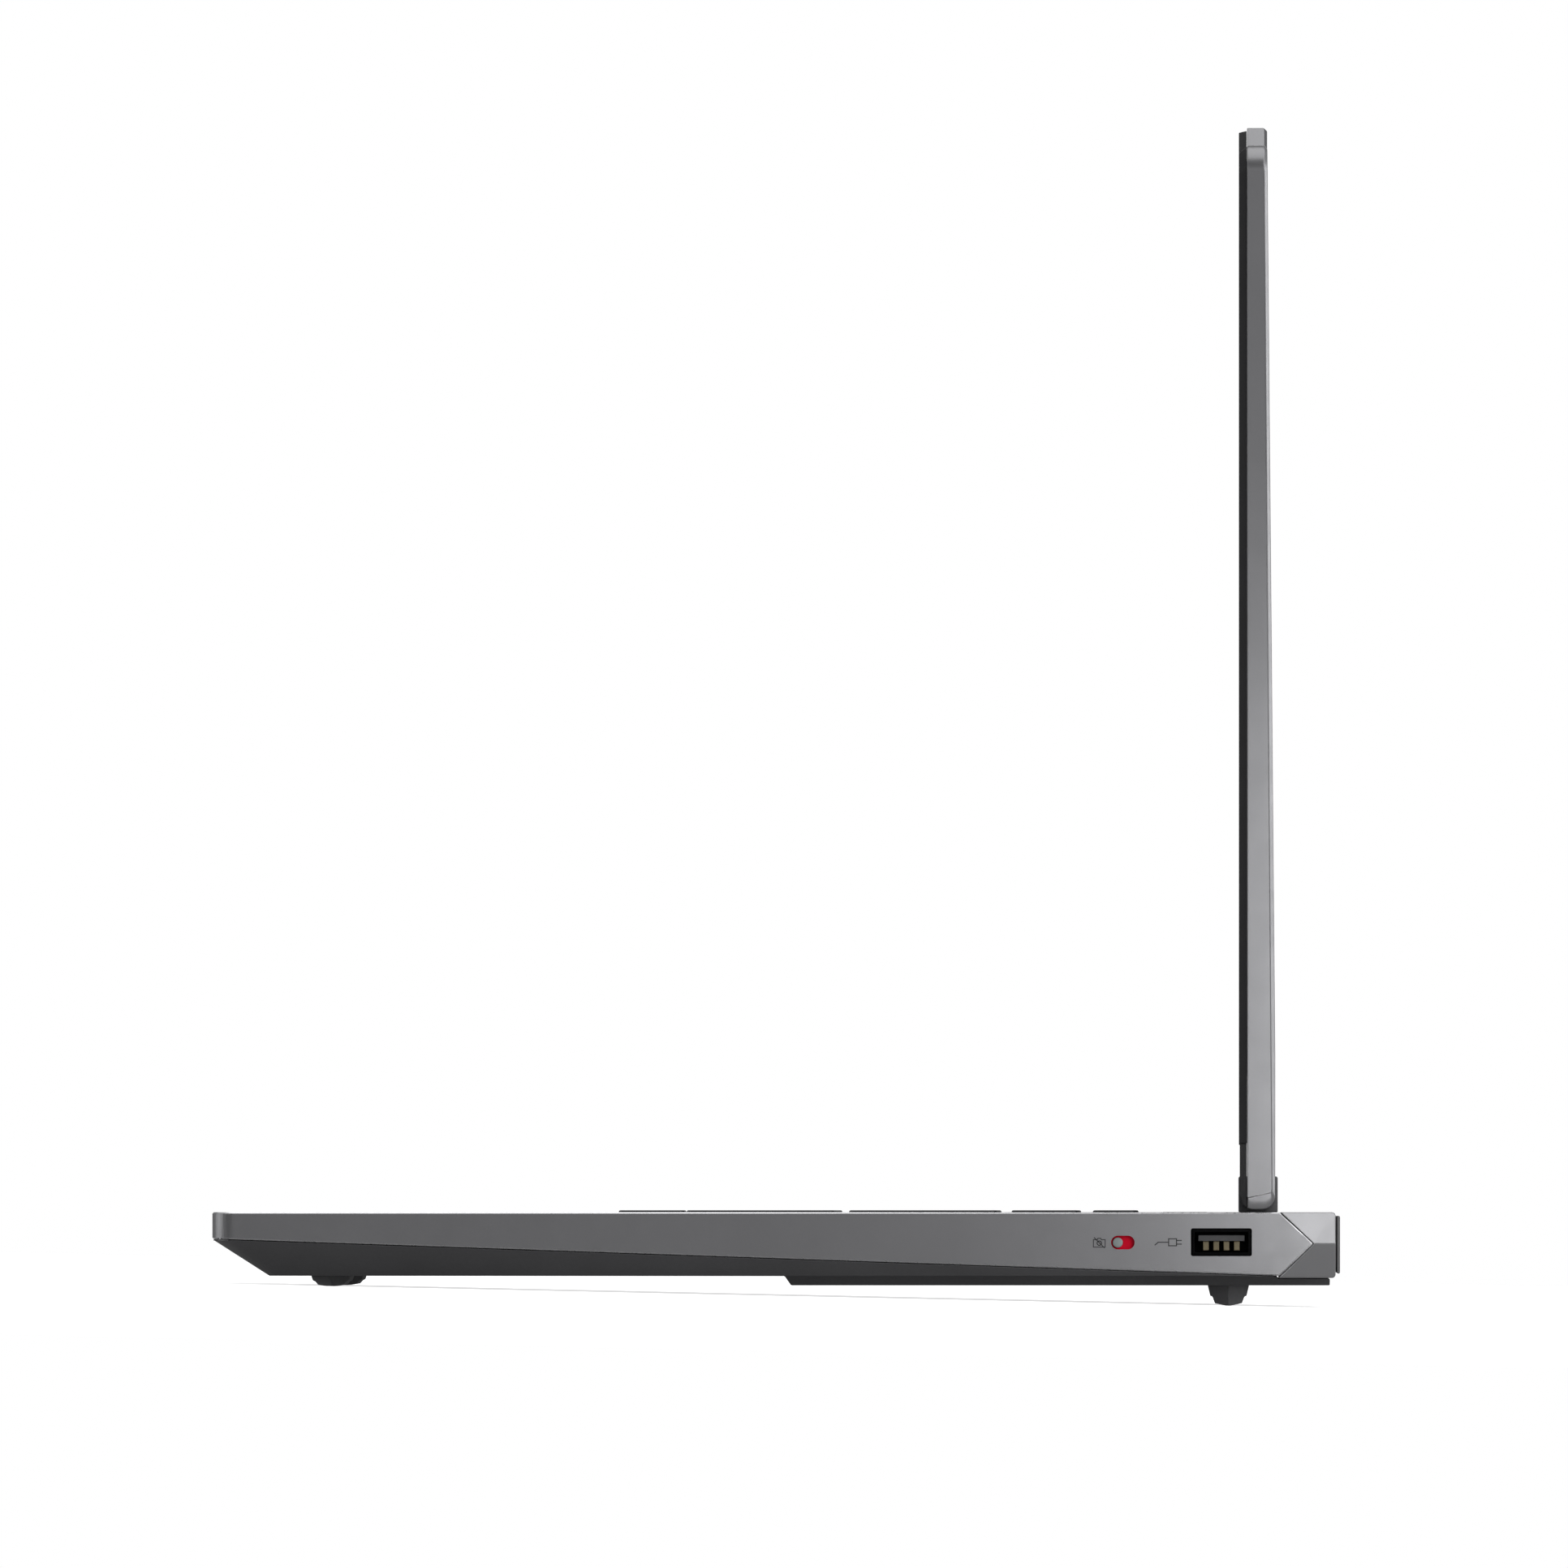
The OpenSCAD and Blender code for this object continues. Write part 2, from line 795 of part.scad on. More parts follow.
module side_io_board() {
    color("darkgreen")
        stand()
            difference() {
                slab(side_x - 26, 200, io_board_z, 23, 41.4, io_board_t);
                translate([side_x - 20, 204, -12])
                    cylinder(r = 1.4, h = 3);
            }
}

module shutter_knob() {
    color("lightgray")
        stand()
            translate([slider_x, knob_y, switch_z])
                rotate([0, 90, 0])
                    cylinder(r = knob_r, h = side_x - slider_x - knob_sink);
}

// The red slide that carries the knob. It fills the window at both ends of its travel.
module shutter_slider() {
    color("crimson")
        stand() {
            slab(slider_x - slider_t, switch_y0 - knob_travel - 0.5, switch_z - switch_r - 0.6,
                slider_t, switch_w + knob_travel + 1, 2 * switch_r + 1.2);
            slab(slider_x - slider_t - 1.4, knob_y - 1.2, switch_z - 1.1, 1.4 + eps, 2.4, 2.2);
        }
}

module switch_housing() {
    color([0.1, 0.1, 0.1])
        stand()
            difference() {
                slab(slider_x - 5, 203.2, io_board_z + io_board_t, 5 - slider_t - 0.2, 12.4, 5.4);
                slab(slider_x - slider_t - 1.7, 205, switch_z - 1.4, 3, 8.6, 2.8);
            }
}

module audio_jack() {
    color([0.1, 0.1, 0.1])
        stand()
            translate([-side_x + 0.3, jack_y, port_z])
                rotate([0, 90, 0])
                    difference() {
                        union() {
                            cylinder(r = jack_r + 0.8, h = 3);
                            translate([-2.9, -3.2, 1.6])
                                cube([5.8, 6.4, jack_depth - 1.6]);
                        }
                        translate([0, 0, -1])
                            cylinder(r = jack_r, h = jack_depth);
                    }
}

module usb_c_port() {
    color("silver")
        stand()
            translate([-side_x + 0.4, type_c_y, port_z])
                rotate([90, 0, 90])
                    difference() {
                        linear_extrude(9)
                            translate([-type_c_w / 2, -type_c_h / 2])
                                rounded_rect(type_c_w, type_c_h, 1.3);
                        translate([0, 0, -1])
                            linear_extrude(9.4)
                                difference() {
                                    translate([-type_c_w / 2 + 0.3, -type_c_h / 2 + 0.3])
                                        rounded_rect(type_c_w - 0.6, type_c_h - 0.6, 1.1);
                                    translate([-3.2, -0.35])
                                        square([6.4, 0.7]);
                                }
                        slab(-3.3, -0.5, -1, 6.6, 1, 2);
                    }
}

module rear_port(x) {
    stand()
        translate([x, rear_y - 0.1, port_z])
            rotate([0, 0, 90])
                children();
}

module rear_usb_ports() {
    color("silver")
        for (x = rear_usb_x)
            rear_port(x) {
                port_shell(usb_w, usb_h, usb_depth - 1, usb_wall);
                port_tongue(10.6, 1.36, 0.94, usb_depth - 1 - eps, 11);
            }
}

module hdmi_port() {
    color("silver")
        rear_port(hdmi_x) {
            port_shell(hdmi_w, hdmi_h, 11, usb_wall);
            port_tongue(11, 1, 0, 11 - eps, 9.5);
        }
}

module ethernet_port() {
    color([0.1, 0.1, 0.1])
        rear_port(ethernet_x) {
            port_shell(ethernet_w, ethernet_h, 13, 0.8);
            for (i = [0:7])
                slab(-13 + 0.4, (i - 3.5) * 1.02 - 0.2, -ethernet_h / 2 + 0.7, 8, 0.4, 0.7);
        }
}

module power_inlet() {
    color([0.1, 0.1, 0.1])
        stand()
            translate([inlet_x, rear_y - 0.1, port_z])
                rotate([90, 0, 0])
                    difference() {
                        union() {
                            cylinder(r = inlet_r + 0.8, h = inlet_depth + 1);
                            slab(-5.5, -5, 2.5, 11, 10, inlet_depth - 1.5);
                        }
                        translate([0, 0, -1])
                            cylinder(r = inlet_r, h = inlet_depth + 1);
                    }
}

module power_inlet_pin() {
    color("silver")
        stand()
            translate([inlet_x, rear_y - 0.1 - inlet_depth, port_z])
                rotate([-90, 0, 0])
                    cylinder(r = inlet_pin_r, h = 8);
}

// ---------------------------------------------------------------- inside the base

module motherboard() {
    color("darkgreen")
        stand()
            difference() {
                slab(-150, 100, -7.9, 300, 140, 1.2);
                for (s = [-1, 1]) {
                    translate([s * fan_x, fan_y, -9])
                        cylinder(r = fan_r + 1.5, h = 4);
                    slab(s * fan_x - 37.5, fan_y, -9, 75, 70, 4);
                    slab(s * 146 - 12, 180, -9, 24, 80, 4);
                }
            }
}

module processor_chips() {
    color("gray")
        stand() {
            slab(-44, 158, -9.6, 34, 28, 1.7 - eps);
            slab(8, 156, -9.6, 34, 34, 1.7 - eps);
        }
}

module memory_modules() {
    color("seagreen")
        stand() {
            slab(-35, 104, -9.6, 70, 22, 1.7 - eps);
            slab(-35, 130, -9.6, 70, 22, 1.7 - eps);
        }
}

module solid_state_drive() {
    color("black")
        stand()
            slab(44, 104, -10.0, 22, 42, 2.1 - eps);
}

module wireless_card() {
    color("darkgreen")
        stand()
            slab(-66, 104, -10.0, 22, 30, 2.1 - eps);
}

module battery_pack() {
    color([0.15, 0.15, 0.15])
        stand()
            for (i = [-1:1])
                slab(i * 76 - 37.5, 21, -12.4, 75, 70, 7.6);
}

module speakers() {
    color([0.1, 0.1, 0.1])
        stand()
            for (s = [-1, 1])
                difference() {
                    slab(s * 143 - 20, 24, -12.4, 40, 60, 7.4);
                    translate([s * 143, 42, -13])
                        cylinder(r = 9, h = 2.4);
                }
}

module fan_place(s) {
    stand()
        translate([s * fan_x, fan_y, fan_low])
            children();
}

module fan_housing(s) {
    h = fan_top - fan_low;
    fan_place(s) {
        difference() {
            union() {
                cylinder(r = fan_r, h = h);
                slab(-fan_r, 0, 0, 2 * fan_r, fin_y0 - fan_y - 0.5, h);
            }
            translate([0, 0, fan_wall])
                cylinder(r = fan_r - fan_wall, h = h - 2 * fan_wall);
            slab(-fan_r + fan_wall, 0, fan_wall, 2 * (fan_r - fan_wall), far, h - 2 * fan_wall);
            translate([0, 0, -1])
                cylinder(r = inlet_hole_r, h = 3);
        }
        translate([0, 0, 1.2])
            cylinder(r = axle_r, h = h - fan_wall - 1.2 + 0.1);
    }
}

module fan_housing_left() {
    color([0.12, 0.12, 0.12])
        fan_housing(-1);
}

module fan_housing_right() {
    color([0.12, 0.12, 0.12])
        fan_housing(1);
}

module fan_rotor(s) {
    color([0.2, 0.2, 0.2])
        fan_place(s)
            difference() {
                union() {
                    translate([0, 0, 1.3])
                        cylinder(r = hub_r, h = 4.8);
                    for (i = [0:blades - 1])
                        rotate([0, 0, i * 360 / blades])
                            translate([hub_r - 1, 0, 1.5])
                                rotate([0, 0, -s * 14])
                                    cube([rotor_r - hub_r, 0.7, 4.2]);
                }
                translate([0, 0, -1])
                    cylinder(r = axle_r + shaft_fit, h = 12);
            }
}

module fan_rotor_left() {
    fan_rotor(-1);
}

module fan_rotor_right() {
    fan_rotor(1);
}

module heatsink_fins() {
    count = floor(2 * fin_half_w / fin_pitch);
    color("peru")
        stand()
            for (s = [-1, 1])
                difference() {
                    slab(s * fan_x - fin_half_w, fin_y0, -9.8, 2 * fin_half_w, fin_d, 5.4);
                    for (i = [1:count - 1])
                        slab(s * fan_x - fin_half_w + i * fin_pitch - 0.8, fin_y0 - 1, -9.2,
                            1.6, fin_d + 2, 4.2);
                }
}

module heat_pipes() {
    color("peru")
        stand() {
            for (y = [228, 235])
                slab(-136, y, -12.4, 272, 5, 2.4);
            for (x = [-30, 22])
                slab(x - 3, 160, -12.4, 6, 76, 2.4);
            for (x = [-27, 25])
                slab(x - 17, 156, -10.6, 34, 34, 1 - eps);
        }
}

module hinge_leaves() {
    color("silver")
        stand()
            for (s = [-1, 1])
                difference() {
                    union() {
                        slab(s * cap_x - 16, 222, -skin - 1.6, 32, 22, 1.5);
                        slab(s * cap_x - 8, hinge_y - 1.2, -skin - 1.6, 16, 2.4, hinge_z + skin + 1.6);
                        translate([s * cap_x - 8, hinge_y, hinge_z])
                            rotate([0, 90, 0])
                                cylinder(r = barrel_r, h = 16);
                    }
                    translate([s * cap_x - 20, hinge_y, hinge_z])
                        rotate([0, 90, 0])
                            cylinder(r = shaft_r + shaft_fit, h = 40);
                }
}

module hinge_caps() {
    color([0.22, 0.22, 0.23])
        stand()
            for (s = [-1, 1])
                difference() {
                    translate([s * cap_x, 0, 0])
                        across(cap_w / 2) {
                            translate([cap_front_y, 0])
                                square([cap_rear_y - cap_front_y, cap_top_z - cap_r]);
                            translate([cap_front_y, cap_top_z - 3 * cap_r])
                                rounded_rect(cap_rear_y - cap_front_y, 3 * cap_r, cap_r);
                        }
                    slab(s * cap_x - cap_w / 2 + cap_wall, cap_front_y + cap_wall, -1,
                        cap_w - 2 * cap_wall, cap_rear_y - cap_front_y - 2 * cap_wall,
                        cap_top_z - cap_wall + 1);
                    translate([s * cap_x - cap_w, hinge_y, hinge_z])
                        rotate([0, 90, 0])
                            cylinder(r = shaft_r + 0.3, h = 2 * cap_w);
                }
}

// ---------------------------------------------------------------- lid

module lid_plan(half_w, low, top, corner) {
    translate([-half_w, low])
        square([2 * half_w, top - low - corner]);
    translate([-half_w, top - 3 * corner])
        rounded_rect(2 * half_w, 3 * corner, corner);
}

module bump_plan(top, inset) {
    polygon([
        [-bump_half_w - bump_foot + inset, top - bump_foot], [-bump_half_w + inset, top],
        [bump_half_w - inset, top], [bump_half_w + bump_foot - inset, top - bump_foot]]);
}

// Side outline of the strip below the screen, with a rounded foot that swings clear of the deck.
module chin_profile() {
    back = lid_split_y - lid_gap;
    turn = acos((back - chin_front_y - lid_low_r) / lid_low_r);
    polygon(concat(
        arc([chin_front_y + lid_low_r, lid_low + lid_low_r], lid_low_r, 180, 360 - turn, 6),
        [[back, chin_top - lid_gap], [chin_front_y, chin_top - lid_gap]]));
}

module hinge_notches() {
    for (s = [-1, 1])
        slab(s * cap_x - cap_w / 2 - notch_play, -20, lid_low - 1,
            cap_w + 2 * notch_play, 40, notch_h - lid_low + 1);
}

// The lid's closed form without the camera bump, tapered and with a rounded foot. It is the hull
// of two outlines: the full one, which stops short of the back by the bevel, and the one inside
// it, which reaches the back.
module lid_form() {
    hull()
        for (inset = [0, lid_edge]) {
            half = lid_half_w - inset;
            short = lid_edge - inset;
            for (y = [chin_front_y + lid_low_r, lid_back_foot - lid_low_r])
                translate([-half, y, lid_low + lid_low_r + 2 * short])
                    rotate([0, 90, 0])
                        cylinder(r = lid_low_r - short, h = 2 * half);
            slab(-half, lid_split_y, lid_straight, 2 * half, lid_back_foot - short - lid_split_y, eps);
            for (s = [-1, 1])
                translate([s * (lid_half_w - lid_corner_r), lid_split_y, lid_h - lid_corner_r])
                    rotate([-90, 0, 0])
                        cylinder(r = lid_corner_r - inset, h = lid_back_top - short - lid_split_y);
        }
}

module bump_form() {
    hull()
        for (inset = [0, lid_edge])
            along_y(lid_split_y, lid_back_top - lid_edge + inset)
                bump_plan(lid_h + bump_h - inset, inset);
}

module lid_cover() {
    color("dimgray")
        on_hinge()
            difference() {
                union() {
                    lid_form();
                    bump_form();
                }
                slab(-far / 2, lid_split_y + lid_gap - far, -far / 2, far, far, far);
                intersection() {
                    across(lid_half_w - lid_skin)
                        polygon([
                            [-5, lid_low + lid_skin], [lid_back_foot - 2.4, lid_low + lid_skin],
                            [lid_back_foot - lid_skin, 0], [lid_back_foot - lid_skin, lid_straight],
                            [lid_back_top - lid_skin, lid_h], [-5, lid_h]]);
                    along_y(-5, 5)
                        lid_plan(lid_half_w - lid_skin, lid_low, lid_h - lid_skin, lid_corner_r - lid_skin);
                }
                hinge_notches();
            }
}

module screen_bezel() {
    edge = lid_split_y - lid_gap;
    color([0.1, 0.1, 0.11])
        on_hinge()
            difference() {
                union() {
                    hull() {
                        along_y(edge - 0.1, edge)
                            lid_plan(lid_half_w - 0.1, chin_top, lid_h - 0.3, lid_corner_r);
                        along_y(bezel_front_y, bezel_front_y + 0.1)
                            lid_plan(lid_half_w - bezel_taper, chin_top, lid_h - bezel_taper - 0.5,
                                lid_corner_r - 1);
                    }
                    hull() {
                        along_y(edge - 0.1, edge)
                            bump_plan(lid_h + bump_h - bump_top_in, 1);
                        along_y(bezel_front_y, bezel_front_y + 0.1)
                            bump_plan(lid_h + bump_h - bump_top_in - bump_drop, 1.5);
                    }
                }
                slab(-view_half_w - 0.4, -10, view_low - 0.4,
                    2 * view_half_w + 0.8, 20, view_top - view_low + 0.8);
                slab(-panel_half_w - 0.2, panel_front_y - 0.05, panel_low - 0.2, 2 * panel_half_w + 0.4, 10,
                    panel_top - panel_low + 0.4);
                translate([0, -10, lens_z])
                    rotate([-90, 0, 0])
                        cylinder(r = lens_r + 0.1, h = 20);
            }
}

module lid_chin() {
    color([0.1, 0.1, 0.11])
        on_hinge()
            difference() {
                across(lid_half_w - 0.4)
                    chin_profile();
                hinge_notches();
            }
}

module display_panel() {
    color([0.03, 0.03, 0.04])
        on_hinge()
            slab(-panel_half_w, panel_front_y, panel_low, 2 * panel_half_w, panel_t, panel_top - panel_low);
}

module webcam_module() {
    color("darkgreen")
        on_hinge()
            slab(-32, lid_split_y + 0.1, panel_top + 0.6, 64, 0.8, 4.6);
}

module webcam_lens() {
    color([0.02, 0.02, 0.03])
        on_hinge()
            translate([0, bezel_front_y + 0.15, lens_z])
                rotate([-90, 0, 0])
                    cylinder(r = lens_r, h = lid_split_y - bezel_front_y - 0.1);
}

module hinge_arms() {
    color("silver")
        on_hinge()
            for (s = [-1, 1]) {
                outer = s * (cap_x + cap_w / 2 - 5);
                inner = s * (cap_x - cap_w / 2 - 14);
                translate([min(outer, inner), 0, 0])
                    rotate([0, 90, 0])
                        cylinder(r = shaft_r, h = abs(outer - inner));
                slab(s * (cap_x - cap_w / 2 - 12) - 8, -0.45, -0.8, 16, 1, 62);
            }
}

top_case();
bottom_cover();
rear_shell();
rear_trim_plate();
vent_grille_left();
vent_grille_right();
front_feet();
rear_foot();
bottom_screws();
keyboard_plate();
keyboard_membrane();
motherboard();
processor_chips();
memory_modules();
solid_state_drive();
wireless_card();
battery_pack();
speakers();
fan_housing_left();
fan_housing_right();
heatsink_fins();
heat_pipes();
touchpad_frame();
switch_housing();
usb_port_right();
usb_tongue_right();
usb_contacts_right();
side_io_board();
audio_jack();
usb_c_port();
rear_usb_ports();
hdmi_port();
ethernet_port();
power_inlet();
power_inlet_pin();
hinge_leaves();
hinge_caps();
power_button_ring();
fan_rotor_left();
fan_rotor_right();
power_button();
touchpad();
shutter_knob();
shutter_slider();
function_keys();
number_keys();
upper_letter_keys();
home_letter_keys();
lower_letter_keys();
modifier_keys();
space_bar();
arrow_keys();
numpad_keys();
lid_cover();
screen_bezel();
lid_chin();
display_panel();
webcam_module();
webcam_lens();
hinge_arms();
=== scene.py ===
"""Looks for the laptop: bevelled casings, dished keys with legends, sockets, paint, rubber and glass."""

import json
import math

import bmesh
import bpy
from mathutils import Matrix, Vector

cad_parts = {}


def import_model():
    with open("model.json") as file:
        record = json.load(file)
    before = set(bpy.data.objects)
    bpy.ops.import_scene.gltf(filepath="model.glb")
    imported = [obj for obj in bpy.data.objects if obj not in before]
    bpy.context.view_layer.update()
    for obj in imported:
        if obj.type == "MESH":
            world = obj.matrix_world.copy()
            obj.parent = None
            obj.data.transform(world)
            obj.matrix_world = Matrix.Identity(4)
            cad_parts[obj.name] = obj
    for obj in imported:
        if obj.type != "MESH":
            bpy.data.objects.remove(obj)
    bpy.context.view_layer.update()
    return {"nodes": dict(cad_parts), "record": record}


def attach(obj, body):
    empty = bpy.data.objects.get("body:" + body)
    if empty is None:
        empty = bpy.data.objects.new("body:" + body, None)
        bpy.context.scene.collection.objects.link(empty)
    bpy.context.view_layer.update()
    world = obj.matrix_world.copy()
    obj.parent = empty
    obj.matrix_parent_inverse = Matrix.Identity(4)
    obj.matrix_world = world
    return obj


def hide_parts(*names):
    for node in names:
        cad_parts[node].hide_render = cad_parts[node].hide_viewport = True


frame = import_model()
RECORD = frame["record"]
JOINTS = {joint["name"]: joint for joint in RECORD["behaviour"]["joints"]}
SLOTS = {part["node"]: part["material_slot"] for part in RECORD["subparts"]}
BODY_OF = {node: body for body, nodes in RECORD["behaviour"]["bodies"].items() for node in nodes}
MM = 0.001
UM = 0.000001

# ------------------------------------------------------------------ the deck's frame

HINGE_Y, HINGE_Z = 239.7 * MM, 4.84 * MM
CASE_W = 359.9 * MM
DECK_UP = -Vector(JOINTS["space_bar_press"]["axis"]).normalized()
DECK_BACK = DECK_UP.cross(Vector((1, 0, 0))).normalized()
HINGE = Vector(JOINTS["lid_hinge"]["pos_m"])
DECK_ORIGIN = HINGE - DECK_BACK * HINGE_Y - DECK_UP * HINGE_Z
DECK_TURN = Matrix((Vector((1, 0, 0)), DECK_BACK, DECK_UP)).transposed().to_4x4()
# Takes x to the right, y to the rear and z off the deck into the row's frame.
DECK = Matrix.Translation(DECK_ORIGIN) @ DECK_TURN

# ------------------------------------------------------------------ materials

def linear(red, green, blue):
    """An sRGB colour, 0 to 255, as linear light."""
    def channel(c):
        c /= 255
        return c / 12.92 if c <= 0.04045 else ((c + 0.055) / 1.055) ** 2.4
    return (channel(red), channel(green), channel(blue), 1)


class Nodes:
    """Builds one procedural material on a Principled shader."""

    def __init__(self, name, rough=0.5, metal=0.0, **sockets):
        self.material = bpy.data.materials.new(name)
        self.material.use_nodes = True
        self.tree = self.material.node_tree
        self.shader = self.tree.nodes["Principled BSDF"]
        self.shader.inputs["Roughness"].default_value = rough
        self.shader.inputs["Metallic"].default_value = metal
        for socket, value in sockets.items():
            self.shader.inputs[socket.replace("_", " ")].default_value = value
        self.place = self.tree.nodes.new("ShaderNodeTexCoord").outputs["Object"]

    def add(self, kind, **values):
        node = self.tree.nodes.new("ShaderNode" + kind)
        for key, value in values.items():
            setattr(node, key, value)
        return node

    def link(self, source, target):
        self.tree.links.new(source, target)

    def noise(self, scale, detail=2.0, rough=0.5, stretch=None):
        """A noise factor with a cell of about 1 / scale metres."""
        node = self.add("TexNoise")
        node.inputs["Scale"].default_value = scale
        node.inputs["Detail"].default_value = detail
        node.inputs["Roughness"].default_value = rough
        place = self.place
        if stretch:
            mapping = self.add("Mapping")
            mapping.inputs["Scale"].default_value = stretch
            self.link(place, mapping.inputs["Vector"])
            place = mapping.outputs["Vector"]
        self.link(place, node.inputs["Vector"])
        return node.outputs["Fac"]

    def spread(self, factor, low, high):
        """The middle of a noise factor's range, mapped to low..high."""
        node = self.add("MapRange")
        node.inputs["From Min"].default_value = 0.3
        node.inputs["From Max"].default_value = 0.7
        node.inputs["To Min"].default_value = low
        node.inputs["To Max"].default_value = high
        self.link(factor, node.inputs["Value"])
        return node.outputs["Result"]

    def blend(self, factor, first, second):
        node = self.add("Mix", data_type="RGBA")
        self.link(factor, node.inputs["Factor"])
        for value, socket in ((first, node.inputs[6]), (second, node.inputs[7])):
            if isinstance(value, bpy.types.NodeSocket):
                self.link(value, socket)
            else:
                socket.default_value = value
        return node.outputs[2]

    def colour(self, value):
        self.link(value, self.shader.inputs["Base Color"])

    def rough(self, value):
        self.link(value, self.shader.inputs["Roughness"])

    def bump(self, factor, depth):
        """Relief of depth metres from a noise factor."""
        node = self.add("Bump")
        node.inputs["Distance"].default_value = depth
        self.link(factor, node.inputs["Height"])
        self.link(node.outputs["Normal"], self.shader.inputs["Normal"])


WHITE = (1, 1, 1, 1)


def shades(colour, spread):
    """A slightly darker and a slightly lighter tone of a colour."""
    dark = tuple(c * (1 - spread) for c in colour[:3]) + (1,)
    light = tuple(min(1, c * (1 + spread)) for c in colour[:3]) + (1,)
    return dark, light


def grained(name, colour, rough, grain, depth, spread=0.06, rough_spread=0.05, metal=0.0, **sockets):
    """A moulded or painted surface: grain of depth micrometres, faint cloudiness and uneven gloss."""
    m = Nodes(name, rough, metal, **sockets)
    dark, light = shades(colour, spread)
    cloud = m.noise(38, 3)
    fine = m.noise(grain, 2)
    tone = m.blend(m.spread(cloud, 0, 1), dark, light)
    speck_dark = shades(WHITE, spread * 0.7)[0]
    speck = m.blend(m.spread(fine, 0, 1), speck_dark, WHITE)
    mixed = m.add("Mix", data_type="RGBA", blend_type="MULTIPLY")
    mixed.inputs["Factor"].default_value = 1
    m.link(tone, mixed.inputs[6])
    m.link(speck, mixed.inputs[7])
    m.colour(mixed.outputs[2])
    m.rough(m.spread(m.noise(210, 3), rough - rough_spread, rough + rough_spread))
    m.bump(fine, depth * UM)
    return m.material


def brushed(name, colour, rough, squeeze, metal=1.0):
    """Drawn or stamped metal: noise squeezed along an axis, so that its streaks run across it."""
    m = Nodes(name, rough, metal)
    dark, light = shades(colour, 0.14)
    streaks = m.noise(900, 3, 0.6, squeeze)
    m.colour(m.blend(m.spread(streaks, 0, 1), dark, light))
    m.rough(m.spread(streaks, rough - 0.08, rough + 0.1))
    m.bump(streaks, 6 * UM)
    return m.material


def board(name):
    """A printed circuit board: solder mask over copper tracks and pads."""
    m = Nodes(name, 0.42)
    tracks = m.add("TexBrick")
    tracks.inputs["Scale"].default_value = 260
    tracks.inputs["Mortar Size"].default_value = 0.018
    tracks.inputs["Color1"].default_value = (0.006, 0.05, 0.028, 1)
    tracks.inputs["Color2"].default_value = (0.008, 0.07, 0.036, 1)
    tracks.inputs["Mortar"].default_value = (0.03, 0.14, 0.06, 1)
    m.link(m.place, tracks.inputs["Vector"])
    pads = m.add("TexVoronoi")
    pads.inputs["Scale"].default_value = 420
    m.link(m.place, pads.inputs["Vector"])
    dots = m.add("MapRange")
    dots.inputs["From Min"].default_value = 0.12
    dots.inputs["From Max"].default_value = 0.16
    dots.inputs["To Min"].default_value = 1
    dots.inputs["To Max"].default_value = 0
    m.link(pads.outputs["Distance"], dots.inputs["Value"])
    m.colour(m.blend(dots.outputs["Result"], tracks.outputs["Color"], (0.55, 0.5, 0.38, 1)))
    m.bump(pads.outputs["Distance"], 40 * UM)
    return m.material


def screen(name):
    """The switched-off display: near-black under an anti-glare film."""
    m = Nodes(name, 0.22, 0.0, Specular_IOR_Level=0.5, Coat_Weight=0.25, Coat_Roughness=0.12)
    grain = m.noise(5200, 1)
    cloud = m.noise(9, 2)
    m.colour(m.blend(m.spread(cloud, 0, 1), (0.0035, 0.004, 0.0055, 1), (0.006, 0.0066, 0.0085, 1)))
    m.rough(m.spread(grain, 0.19, 0.27))
    m.bump(grain, 4 * UM)
    return m.material


def glow_plastic(name):
    """Milky light-guide plastic, unlit."""
    m = Nodes(name, 0.35, Subsurface_Weight=0.2, Subsurface_Radius=(MM, MM, MM), Subsurface_Scale=0.5)
    m.colour(m.blend(m.spread(m.noise(900, 2), 0, 1), (0.6, 0.62, 0.64, 1), (0.74, 0.76, 0.78, 1)))
    m.bump(m.noise(2400, 1), 5 * UM)
    return m.material


